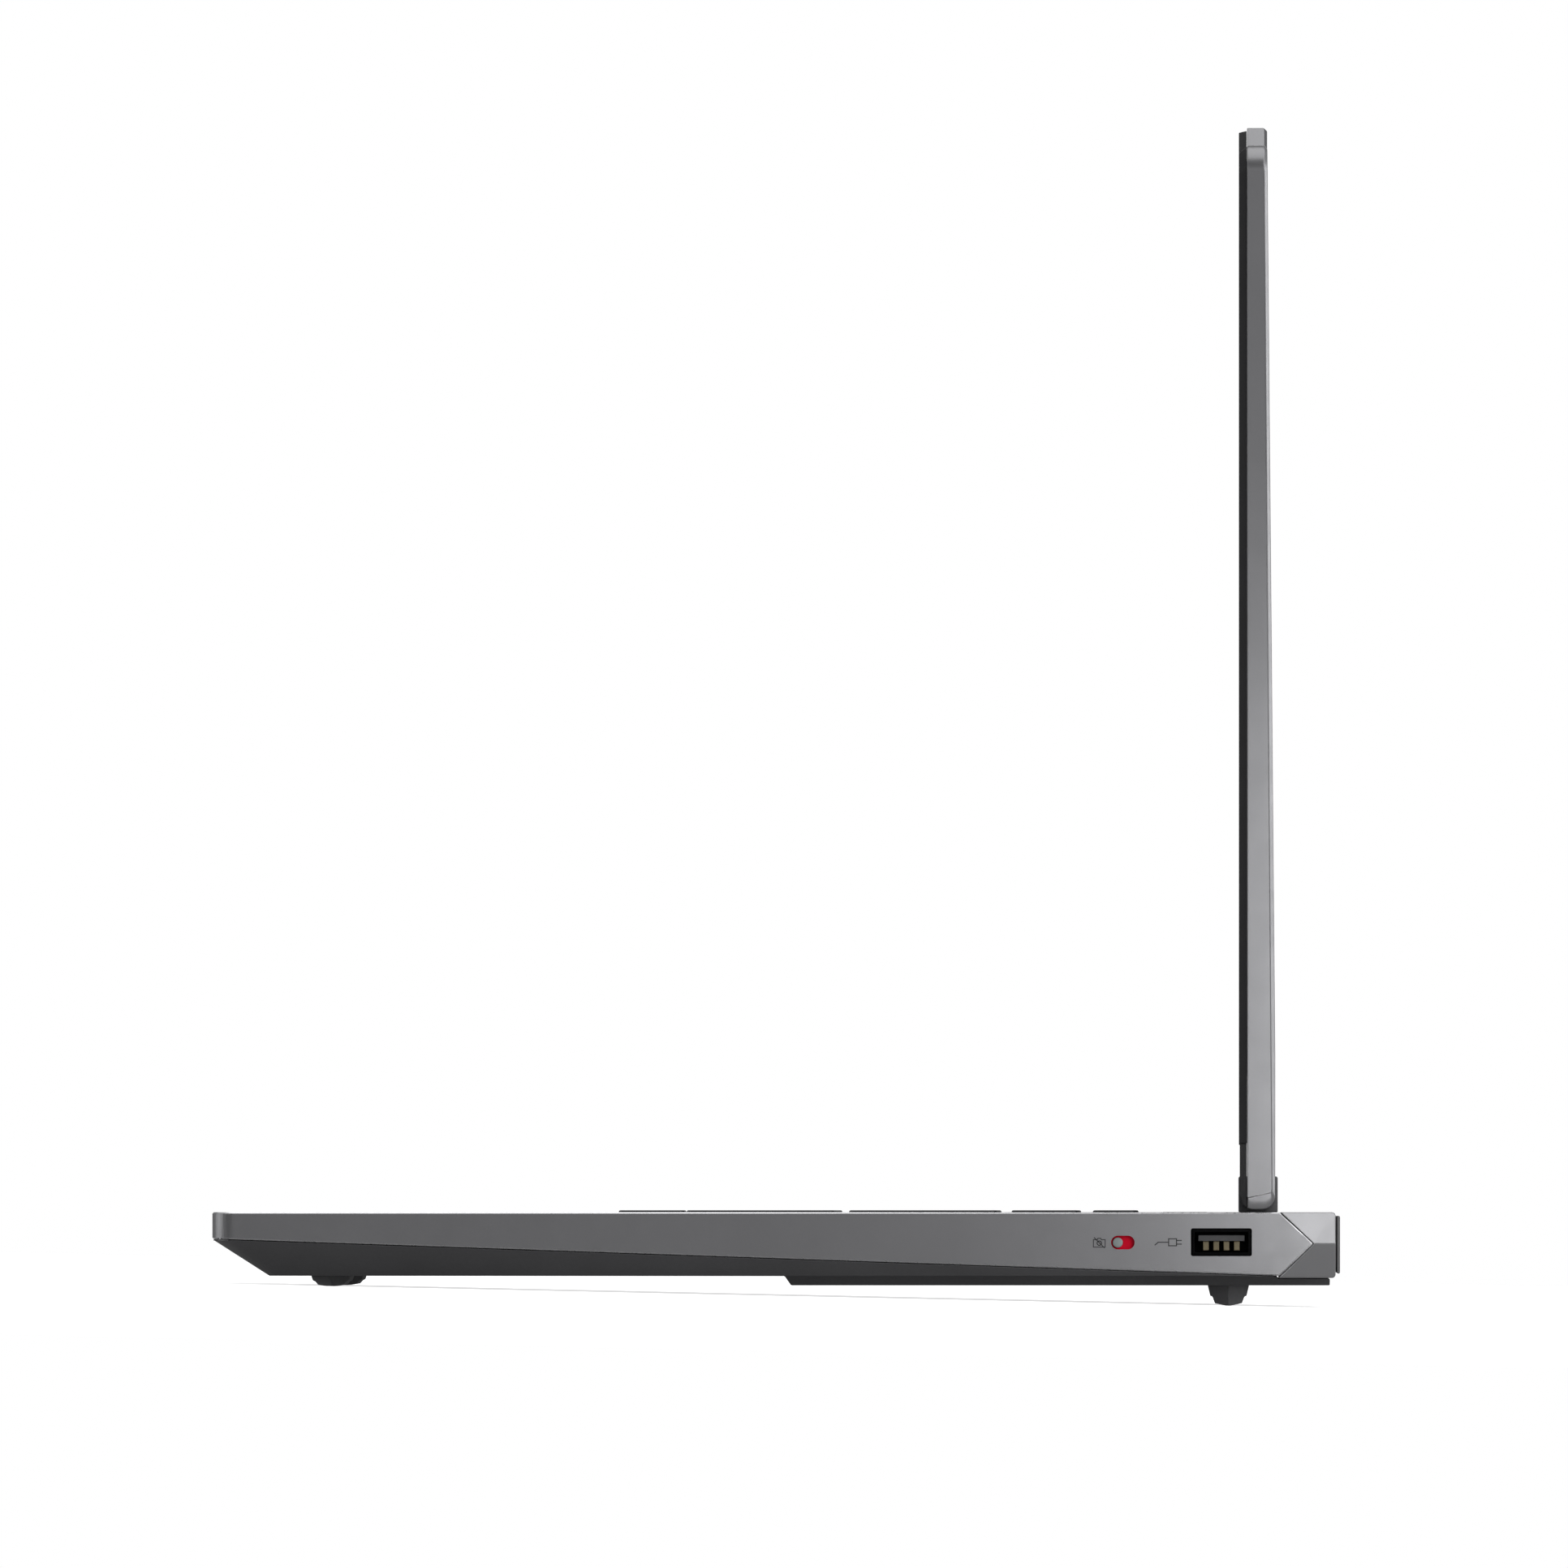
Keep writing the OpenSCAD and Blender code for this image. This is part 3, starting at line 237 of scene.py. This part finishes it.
# A grained material's numbers are its roughness, its grains per metre and their depth in micrometres.
MATERIALS = {
    "case_grey": grained(
        "case_grey", linear(126, 126, 128), 0.32, 3200, 3, spread=0.035, rough_spread=0.03, metal=0.6),
    "shell_grey": grained(
        "shell_grey", linear(140, 140, 142), 0.32, 3200, 3, spread=0.035, rough_spread=0.03, metal=0.6),
    "cover_dark": grained("cover_dark", linear(80, 80, 82), 0.5, 1500, 30, spread=0.1),
    "trim_dark": grained("trim_dark", linear(92, 92, 93), 0.42, 2600, 10, spread=0.05, metal=0.2),
    "foot_rubber": grained("foot_rubber", linear(104, 104, 106), 0.72, 1300, 30, spread=0.12),
    "black_plastic": grained(
        "black_plastic", linear(20, 20, 22), 0.5, 2200, 14, spread=0.1, Specular_IOR_Level=0.25),
    "key_plastic": grained("key_plastic", linear(34, 34, 37), 0.46, 2300, 16, spread=0.1),
    "touch_glass": grained(
        "touch_glass", linear(122, 122, 125), 0.37, 3200, 3, spread=0.03, rough_spread=0.02, metal=0.6),
    "panel_glass": screen("panel_glass"),
    "lens_glass": grained(
        "lens_glass", (0.004, 0.005, 0.012, 1), 0.06, 900, 1, spread=0.3, rough_spread=0.02, Coat_Weight=1.0),
    "red_plastic": grained("red_plastic", linear(255, 0, 48), 0.5, 2400, 6, Specular_IOR_Level=0.1),
    "knob_grey": grained(
        "knob_grey", linear(134, 142, 142), 0.34, 2800, 8, spread=0.05, rough_spread=0.04, metal=0.2),
    "steel": brushed("steel", linear(176, 176, 174), 0.3, (1, 12, 1)),
    "gold": brushed("gold", linear(186, 160, 96), 0.26, (8, 1, 1)),
    "copper": brushed("copper", linear(196, 122, 84), 0.34, (1, 1, 9)),
    "board_green": board("board_green"),
    "chip": brushed("chip", linear(120, 122, 124), 0.38, (3, 3, 1), 0.8),
    "battery_wrap": grained("battery_wrap", linear(30, 30, 31), 0.34, 700, 30, spread=0.12),
    "light_ring": glow_plastic("light_ring"),
    "screw_steel": brushed("screw_steel", linear(62, 62, 64), 0.36, (1, 1, 6)),
    "membrane": grained("membrane", linear(24, 24, 25), 0.62, 1500, 20, spread=0.1),
}
# The right-hand USB socket is seen straight on, so it has finishes of its own: its shell and contacts are
# painted far darker than steel and gold, as painted shade inside the socket.
LOOKS = {
    # Near-black steel: painted shade inside the shell.
    "usb_port_right": brushed("socket_shell_painted_shade", linear(16, 16, 17), 0.45, (1, 12, 1)),
    "usb_tongue_right": grained("socket_tongue", linear(58, 58, 60), 0.5, 2200, 10, spread=0.08),
    # Grey-brown in place of gold: painted shade on the contacts.
    "usb_contacts_right": brushed("socket_contacts_painted_shade", linear(112, 102, 78), 0.5, (8, 1, 1), 0.4),
}
# A lighter metal on the top case's bevel faces: painted highlight lines along its edges.
EDGE_HIGHLIGHT_METAL = brushed("painted_edge_highlight", linear(196, 196, 198), 0.3, (1, 1, 1), 0.85)
LEGEND = grained("legend_ink", linear(196, 198, 202), 0.5, 3000, 3, spread=0.03)
PICTOGRAM = grained("pictogram_ink", linear(36, 36, 38), 0.5, 3000, 3, spread=0.05)


def look(node):
    """The material of a CAD node: its own, or its slot's."""
    return LOOKS.get(node, MATERIALS[SLOTS[node]])


# ------------------------------------------------------------------ mesh helpers

SPLIT_FROM = math.radians(35)
SHARP_FROM = math.radians(32)
FLAT_BELOW = math.radians(0.6)
WELD = 0.002 * MM
SOCKETS_FRONT, SOCKETS_REAR = 195 * MM, 241 * MM
SOCKETS_LOW, SOCKETS_HIGH = -11.5 * MM, -2 * MM


def new_piece(name, bm, material):
    """A mesh object from bm, with smooth faces split at its sharp edges."""
    mesh = bpy.data.meshes.new(name)
    bm.to_mesh(mesh)
    bm.free()
    mesh.shade_smooth()
    mesh.set_sharp_from_angle(angle=SPLIT_FROM)
    obj = bpy.data.objects.new(name, mesh)
    bpy.context.scene.collection.objects.link(obj)
    mesh.materials.append(material)
    return obj


def mark_highlight_edges(bm):
    """Weighs the edges that get the painted highlight: all the sharp ones, but not those of the openings in
    the side walls.
    """
    weight = bm.edges.layers.float.new("bevel_weight_edge")
    back = DECK.inverted()
    for edge in bm.edges:
        spot = back @ ((edge.verts[0].co + edge.verts[1].co) / 2)
        beside = SOCKETS_FRONT < spot.y < SOCKETS_REAR and SOCKETS_LOW < spot.z < SOCKETS_HIGH
        if edge.is_manifold and edge.calc_face_angle() > SHARP_FROM and not beside:
            edge[weight] = 1


def finish_edges(obj, width, segments, painted_highlight):
    """Rounds the sharp edges, or bevels the marked ones and gives their bevels a lighter metal as a painted
    highlight.
    """
    bevel = obj.modifiers.new("edges", "BEVEL")
    bevel.width = width
    bevel.segments = segments
    bevel.limit_method = "WEIGHT" if painted_highlight else "ANGLE"
    bevel.angle_limit = SHARP_FROM
    if painted_highlight:
        # The bevel faces take the painted highlight metal as their second material.
        obj.data.materials.append(EDGE_HIGHLIGHT_METAL)
        bevel.material = 1
    bevel.use_clamp_overlap = False
    bevel.loop_slide = False
    flats = obj.modifiers.new("flats", "WEIGHTED_NORMAL")
    flats.keep_sharp = True
    flats.weight = 100


def edged(node, width, segments, painted_highlight, merge):
    """Replaces a CAD node with a copy that has its edges rounded by width. Merge joins flat facets."""
    bm = bmesh.new()
    bm.from_mesh(frame["nodes"][node].data)
    bmesh.ops.remove_doubles(bm, verts=bm.verts, dist=WELD)
    if merge:
        bmesh.ops.dissolve_limit(bm, angle_limit=FLAT_BELOW, verts=bm.verts, edges=bm.edges)
    if painted_highlight:
        mark_highlight_edges(bm)
    obj = new_piece(node + "_body", bm, look(node))
    finish_edges(obj, width, segments, painted_highlight)
    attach(obj, BODY_OF[node])
    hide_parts(node)


def add_piece(name, bm, material, body):
    obj = new_piece(name, bm, material)
    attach(obj, body)
    return obj


def rounded_outline(x0, y0, x1, y1, r, steps=5):
    """Points of a rounded rectangle, anticlockwise."""
    points = []
    corners = ((x1 - r, y1 - r, 0), (x0 + r, y1 - r, 90), (x0 + r, y0 + r, 180), (x1 - r, y0 + r, 270))
    for cx, cy, start in corners:
        for i in range(steps + 1):
            a = math.radians(start + 90 * i / steps)
            points.append((cx + r * math.cos(a), cy + r * math.sin(a)))
    return points


def ring(bm, points, z):
    """Vertices through points (x, y) at height z in the deck's frame."""
    return [bm.verts.new(DECK @ Vector((x, y, z))) for x, y in points]


def bridge(bm, low, high):
    """A band of faces between two rings."""
    count = len(low)
    for i in range(count):
        j = (i + 1) % count
        bm.faces.new((low[i], low[j], high[j], high[i]))


# ------------------------------------------------------------------ keyboard

KEY_R, KEY_R_LEAST = 1.3 * MM, 0.35 * MM
KEY_RINGS = (
    # inset, height over the cap's foot as a share, then mm off the top
    (0.0, 0.0, 0.0), (0.0, 0.75, 0.0), (0.06, 1.0, -0.16), (0.2, 1.0, -0.05), (0.42, 1.0, 0.0),
    (0.75, 1.0, -0.015), (2.4, 1.0, -0.10), (4.0, 1.0, -0.13))


def islands(node):
    """Box in the deck's frame of each separate solid of a node, in order from the front left."""
    back = DECK.inverted()
    bm = bmesh.new()
    bm.from_mesh(frame["nodes"][node].data)
    bmesh.ops.remove_doubles(bm, verts=bm.verts, dist=WELD)
    left = set(bm.verts)
    boxes = []
    while left:
        stack = [left.pop()]
        found = []
        while stack:
            vert = stack.pop()
            found.append(back @ vert.co)
            for edge in vert.link_edges:
                other = edge.other_vert(vert)
                if other in left:
                    left.remove(other)
                    stack.append(other)
        low = Vector(min(p[i] for p in found) for i in range(3))
        high = Vector(max(p[i] for p in found) for i in range(3))
        boxes.append((low, high))
    bm.free()
    return sorted(boxes, key=lambda box: (round(box[0].y, 3), box[0].x))


def keycap(bm, low, high):
    """One cap: straight skirt, rounded shoulder and a shallow dish."""
    rings = []
    for inset, share, drop in KEY_RINGS:
        inset *= MM
        r = max(KEY_R - inset * 0.5, KEY_R_LEAST)
        outline = rounded_outline(low.x + inset, low.y + inset, high.x - inset, high.y - inset, r)
        z = low.z + (high.z - low.z) * share + drop * MM
        rings.append(ring(bm, outline, z))
    for first, second in zip(rings, rings[1:]):
        bridge(bm, first, second)
    bm.faces.new(rings[-1])
    bm.faces.new(list(reversed(rings[0])))


# A pair is printed one above the other, and a word with # in front stands for a drawn sign.
LEGENDS = {
    "function_keys": ["esc"] + [f"F{i}" for i in range(1, 13)] + ["ins", "del"],
    "number_keys": [("~", "`"), ("!", "1"), ("@", "2"), ("#", "3"), ("$", "4"), ("%", "5"), ("^", "6"),
                    ("&", "7"), ("*", "8"), ("(", "9"), (")", "0"), ("_", "-"), ("+", "=")],
    "upper_letter_keys": list("QWERTYUIOP") + [("{", "["), ("}", "]"), ("|", "\\")],
    "home_letter_keys": list("ASDFGHJKL") + [(":", ";"), ('"', "'")],
    "lower_letter_keys": list("ZXCVBNM") + [("<", ","), (">", "."), ("?", "/")],
    "modifier_keys": ["ctrl", "fn", "#diamond", "alt", "alt", "#menu", "ctrl", "shift", "shift",
                      "caps lock", "enter", "tab", "backspace"],
    "space_bar": [""],
    "arrow_keys": ["#left", "#down", "#right", "#up"],
    "numpad_keys": ["0", ".", "enter", "1", "2", "3", "4", "5", "6", "+", "7", "8", "9",
                    "num", "/", "*", "-", "home", "end", "pgup", "pgdn"],
}
SMALL_TEXT, LARGE_TEXT = 2.5 * MM, 3.9 * MM
UPPER_TEXT, LOWER_TEXT = SMALL_TEXT * 1.15, SMALL_TEXT * 1.25
TEXT_MARGIN = 2.6 * MM
UPPER_DROP, LOWER_RISE, TALL_DROP = 4.3 * MM, 4.2 * MM, 4.8 * MM
SHORT_KEY = 12 * MM
INK_LIFT = 0.012 * MM
DISH = 0.13 * MM
ARROW_R = 1.5 * MM
DIAMOND_R = 1.4 * MM
MENU_HALF, MENU_LINE, MENU_PITCH = 1.6 * MM, 0.22 * MM, 1.05 * MM


def text_mesh(bm, words, size, x, y, z):
    """Adds flat lettering to bm, its left edge at x and its middle at y, in the deck's frame."""
    curve = bpy.data.curves.new("words", "FONT")
    curve.body = words
    curve.size = size
    curve.resolution_u = 3
    curve.align_y = "CENTER"
    holder = bpy.data.objects.new("words", curve)
    bpy.context.scene.collection.objects.link(holder)
    bpy.context.view_layer.update()
    mesh = bpy.data.meshes.new_from_object(holder)
    bpy.data.objects.remove(holder)
    mesh.transform(DECK @ Matrix.Translation((x, y, z)))
    bm.from_mesh(mesh)
    bpy.data.meshes.remove(mesh)


def flat_shape(bm, points, z):
    bm.faces.new(ring(bm, points, z))


def arrow_sign(bm, sign, x, y, z):
    """A filled triangle that points the way sign says."""
    turn = {"#up": 0, "#left": 90, "#down": 180, "#right": 270}[sign]
    points = []
    for angle in (90, 210, 330):
        a = math.radians(angle + turn)
        points.append((x + ARROW_R * math.cos(a), y + ARROW_R * math.sin(a)))
    flat_shape(bm, points, z)


def diamond_sign(bm, x, y, z):
    """A plain diamond, for the system key."""
    r = DIAMOND_R
    flat_shape(bm, [(x, y - r), (x + r, y), (x, y + r), (x - r, y)], z)


def menu_sign(bm, x, y, z):
    """Three bars."""
    h, t = MENU_HALF, MENU_LINE
    for i in (-1, 0, 1):
        cy = y + i * MENU_PITCH
        flat_shape(bm, [(x - h, cy - t), (x + h, cy - t), (x + h, cy + t), (x - h, cy + t)], z)


def legend(bm, words, low, high):
    """Puts one key's legend near its top left corner, or both characters of a pair."""
    z = high.z - DISH * 0.55 + INK_LIFT
    left = low.x + TEXT_MARGIN
    if isinstance(words, tuple):
        text_mesh(bm, words[0], UPPER_TEXT, left, high.y - UPPER_DROP, z)
        text_mesh(bm, words[1], LOWER_TEXT, left, low.y + LOWER_RISE, z)
    elif words.startswith("#"):
        x, y = (low.x + high.x) / 2, (low.y + high.y) / 2
        if words == "#diamond":
            diamond_sign(bm, x, y, z)
        elif words == "#menu":
            menu_sign(bm, x, y, z)
        else:
            arrow_sign(bm, words, x, y, z)
    elif words:
        size = LARGE_TEXT if len(words) == 1 else SMALL_TEXT
        middle = (low.y + high.y) / 2 if high.y - low.y < SHORT_KEY else high.y - TALL_DROP
        text_mesh(bm, words, size, left, middle, z)


def keyboard():
    """Replaces each row's plain keys with dished caps and puts their legends on top."""
    for node, words in LEGENDS.items():
        caps, ink = bmesh.new(), bmesh.new()
        for (low, high), word in zip(islands(node), words):
            keycap(caps, low, high)
            legend(ink, word, low, high)
        cap = add_piece(node + "_caps", caps, MATERIALS["key_plastic"], BODY_OF[node])
        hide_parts(node)
        if node != "space_bar":
            add_piece(node + "_legends", ink, LEGEND, BODY_OF[node])
        else:
            ink.free()


# ------------------------------------------------------------------ pictograms on the right side

SIDE_X = CASE_W / 2
SIDE_LIFT = 0.02 * MM
CAMERA_SIGN = (203.5, -7.0)
PLUG_SIGN = (219.6, -6.9)


def side_stroke(bm, points, width, closed=False):
    """A flat line through points (y, z) in mm on the right side wall."""
    path = points + points[:1] if closed else points
    for (y0, z0), (y1, z1) in zip(path, path[1:]):
        run = Vector((y1 - y0, z1 - z0)).normalized()
        side = Vector((-run.y, run.x)) * width / 2
        run *= width / 2
        corners = (
            (y0 - run.x - side.x, z0 - run.y - side.y), (y1 + run.x - side.x, z1 + run.y - side.y),
            (y1 + run.x + side.x, z1 + run.y + side.y), (y0 - run.x + side.x, z0 - run.y + side.y))
        places = [DECK @ Vector((SIDE_X + SIDE_LIFT, y * MM, z * MM)) for y, z in corners]
        bm.faces.new([bm.verts.new(place) for place in places])


def circle_points(y, z, r, count=20):
    angles = [2 * math.pi * i / count for i in range(count)]
    return [(y + r * math.cos(a), z + r * math.sin(a)) for a in angles]


def camera_sign(bm, y, z):
    """A camera with a stroke through it."""
    w, h, line = 1.35, 1.0, 0.2
    shoulder = z + h * 0.7
    body = [(y - w, z - h), (y + w, z - h), (y + w, shoulder), (y + 0.5, shoulder),
            (y + 0.3, z + h), (y - 0.3, z + h), (y - 0.5, shoulder), (y - w, shoulder)]
    side_stroke(bm, body, line, closed=True)
    side_stroke(bm, circle_points(y, z - 0.1, 0.5), line, closed=True)
    side_stroke(bm, [(y - w * 0.85, z + h * 1.15), (y + w * 0.85, z - h * 1.15)], line)


def plug_sign(bm, y, z):
    """A plain plug with two prongs and its lead."""
    line = 0.24
    back, front, half = y - 0.2, y + 1.6, 0.8
    body = [(back, z - half), (front, z - half), (front, z + half), (back, z + half)]
    side_stroke(bm, body, line, closed=True)
    for prong in (z - 0.42, z + 0.42):
        side_stroke(bm, [(front, prong), (y + 2.7, prong)], line)
    side_stroke(bm, [(back, z), (y - 2.6, z)], line)
    side_stroke(bm, [(y - 2.6, z), (y - 3.3, z - 0.6)], line)


def pictograms():
    bm = bmesh.new()
    camera_sign(bm, *CAMERA_SIGN)
    plug_sign(bm, *PLUG_SIGN)
    add_piece("side_pictograms", bm, PICTOGRAM, "base")


# ------------------------------------------------------------------ casings and small parts

# The width of each part's rounded edges in mm, and the number of facets across them.
EDGES = {
    "top_case": (0.3, 1),
    "bottom_cover": (0.25, 2),
    "rear_shell": (0.28, 2),
    "rear_trim_plate": (0.2, 2),
    "lid_cover": (0.2, 3),
    "screen_bezel": (0.15, 2),
    "lid_chin": (0.12, 2),
    "hinge_caps": (0.3, 3),
    "display_panel": (0.1, 1),
    "front_feet": (0.1, 2),
    "rear_foot": (0.1, 2),
    "touchpad": (0.12, 2),
    "power_button": (0.2, 3),
    "power_button_ring": (0.08, 2),
    "webcam_lens": (0.12, 2),
    "shutter_knob": (0.14, 3),
    "shutter_slider": (0.06, 2),
    "bottom_screws": (0.12, 2),
    "vent_grille_left": (0.1, 1),
    "vent_grille_right": (0.1, 1),
    "usb_port_right": (0.06, 2),
    "usb_tongue_right": (0.08, 2),
    "usb_contacts_right": (0.1, 2),
    "audio_jack": (0.15, 2),
    "power_inlet": (0.2, 2),
    "hdmi_port": (0.06, 1),
    "ethernet_port": (0.1, 1),
    "battery_pack": (0.8, 3),
    "speakers": (0.5, 2),
    "fan_rotor_left": (0.1, 1),
    "fan_rotor_right": (0.1, 1),
    "hinge_arms": (0.15, 2),
}
# The parts whose bevels carry the painted edge highlight.
PAINTED_HIGHLIGHT_NODES = ("top_case",)
MERGED = ("top_case", "lid_cover")


def casings():
    for node, (width, segments) in EDGES.items():
        edged(node, width * MM, segments, node in PAINTED_HIGHLIGHT_NODES, node in MERGED)


def carried_nodes():
    """The CAD nodes that stay get their own procedural materials."""
    for node, obj in frame["nodes"].items():
        if not obj.hide_render:
            obj.data.materials.clear()
            obj.data.materials.append(look(node))


# ------------------------------------------------------------------ camera, floor and light

LENS_MM, SENSOR_MM = 1600.0, 36.0
VIEW_WIDTH = 359.6 * MM
AIM_Y, AIM_Z = 131.2 * MM, 98.2 * MM
EYE_Y = 235.5 * MM
FLOOR_HALF = 6


def camera():
    """Looks square at the right side from afar, in line with the deck and the screen."""
    distance = VIEW_WIDTH * LENS_MM / SENSOR_MM
    aim = DECK @ Vector((SIDE_X, AIM_Y, AIM_Z))
    eye = DECK @ Vector((SIDE_X + distance, EYE_Y, 0))
    data = bpy.data.cameras.new("camera")
    data.lens = LENS_MM
    data.sensor_width = SENSOR_MM
    data.clip_start = 1
    data.clip_end = 60
    obj = bpy.data.objects.new("camera", data)
    bpy.context.scene.collection.objects.link(obj)
    toward = (aim - eye).normalized()
    right = toward.cross(DECK_UP).normalized()
    up = right.cross(toward)
    turn = Matrix((right, up, -toward)).transposed().to_4x4()
    obj.matrix_world = Matrix.Translation(eye) @ turn
    bpy.context.scene.camera = obj


def floor():
    """Pale and evenly lit to the camera, dim to what it lights, and clear from below."""
    bm = bmesh.new()
    for x, y in ((-1, -1), (1, -1), (1, 1), (-1, 1)):
        bm.verts.new((x * FLOOR_HALF, y * FLOOR_HALF, 0))
    bm.faces.new(bm.verts)
    m = Nodes("floor", 0.7, 0.0)
    seen = m.add("LightPath").outputs["Is Camera Ray"]
    pale = m.blend(m.noise(3, 2), (0.9, 0.9, 0.9, 1), (0.93, 0.93, 0.93, 1))
    m.colour(m.blend(seen, (0.16, 0.16, 0.16, 1), pale))
    m.shader.inputs["Emission Color"].default_value = (1, 1, 1, 1)
    glow = m.add("MapRange")
    glow.inputs["To Min"].default_value = 0.16
    glow.inputs["To Max"].default_value = 0.7
    m.link(seen, glow.inputs["Value"])
    m.link(glow.outputs["Result"], m.shader.inputs["Emission Strength"])
    clear = m.add("BsdfTransparent")
    choose = m.add("MixShader")
    facing = m.add("NewGeometry")
    output = m.tree.nodes["Material Output"]
    m.link(facing.outputs["Backfacing"], choose.inputs["Fac"])
    m.link(m.shader.outputs["BSDF"], choose.inputs[1])
    m.link(clear.outputs["BSDF"], choose.inputs[2])
    m.link(choose.outputs["Shader"], output.inputs["Surface"])
    obj = new_piece("floor", bm, m.material)


def softbox(name, place, aim, size, power, size_y=None):
    """An area light, size by size_y metres, that shines from place toward aim."""
    data = bpy.data.lights.new(name, "AREA")
    data.energy = power
    data.shape = "RECTANGLE"
    data.size = size
    data.size_y = size_y or size
    obj = bpy.data.objects.new(name, data)
    bpy.context.scene.collection.objects.link(obj)
    obj.location = place
    obj.rotation_mode = "QUATERNION"
    obj.rotation_quaternion = (Vector(aim) - Vector(place)).to_track_quat("-Z", "Y")
    obj.visible_camera = False


def lights():
    """A wide light overhead, two close to the right rear corner, and a card in front and behind."""
    corner = DECK @ Vector((SIDE_X, 0.235, -0.005))
    beside = corner + Vector((0, 0.03, 0.045))
    softbox("key", (0, 0.3, 1.8), (0, 0, 0.1), 2.4, 26)
    softbox("corner_glow", beside + Vector((0.22, 0.02, 0)), beside, 0.08, 0.21, 0.17)
    softbox("rear_glow", corner + Vector((0.30, 0.42, 0.45)), corner, 0.3, 0.7)
    softbox("front_card", (0.15, -1.3, 0.15), (0.1, 0, 0.05), 0.8, 6, 0.9)
    softbox("rear_card", (0.2, 1.5, 0.2), (0.1, 0, 0.1), 0.8, 8, 0.9)


# Studio brightness by how far a direction leans to the left or right: light above, in front and
# behind, dark cards to both sides, and a bright wall at the very ends.
STUDIO = ((0.0, 0.62), (0.45, 0.5), (0.72, 0.1), (0.9, 0.08), (0.98, 0.8))


def world():
    """White behind the object, and a soft studio around it for what lights it."""
    scene_world = bpy.data.worlds.new("studio")
    scene_world.use_nodes = True
    tree = scene_world.node_tree
    backdrop = tree.nodes["Background"]
    backdrop.inputs["Color"].default_value = (1, 1, 1, 1)
    backdrop.inputs["Strength"].default_value = 1.0
    ambient = tree.nodes.new("ShaderNodeBackground")
    ramp = tree.nodes.new("ShaderNodeValToRGB")
    while len(ramp.color_ramp.elements) < len(STUDIO):
        ramp.color_ramp.elements.new(1.0)
    for stop, (lean, light) in zip(ramp.color_ramp.elements, STUDIO):
        stop.position = lean
        stop.color = (light, light, light * 1.01, 1)
    place = tree.nodes.new("ShaderNodeTexCoord")
    parts = tree.nodes.new("ShaderNodeSeparateXYZ")
    lean = tree.nodes.new("ShaderNodeMath")
    lean.operation = "ABSOLUTE"
    rays = tree.nodes.new("ShaderNodeLightPath")
    choose = tree.nodes.new("ShaderNodeMixShader")
    tree.links.new(place.outputs["Generated"], parts.inputs["Vector"])
    tree.links.new(parts.outputs["X"], lean.inputs[0])
    tree.links.new(lean.outputs["Value"], ramp.inputs["Fac"])
    tree.links.new(ramp.outputs["Color"], ambient.inputs["Color"])
    tree.links.new(rays.outputs["Is Camera Ray"], choose.inputs["Fac"])
    tree.links.new(ambient.outputs["Background"], choose.inputs[1])
    tree.links.new(backdrop.outputs["Background"], choose.inputs[2])
    tree.links.new(choose.outputs["Shader"], tree.nodes["World Output"].inputs["Surface"])
    bpy.context.scene.world = scene_world
    bpy.context.scene.view_settings.view_transform = "Standard"


camera()
casings()
keyboard()
pictograms()
carried_nodes()
floor()
lights()
world()
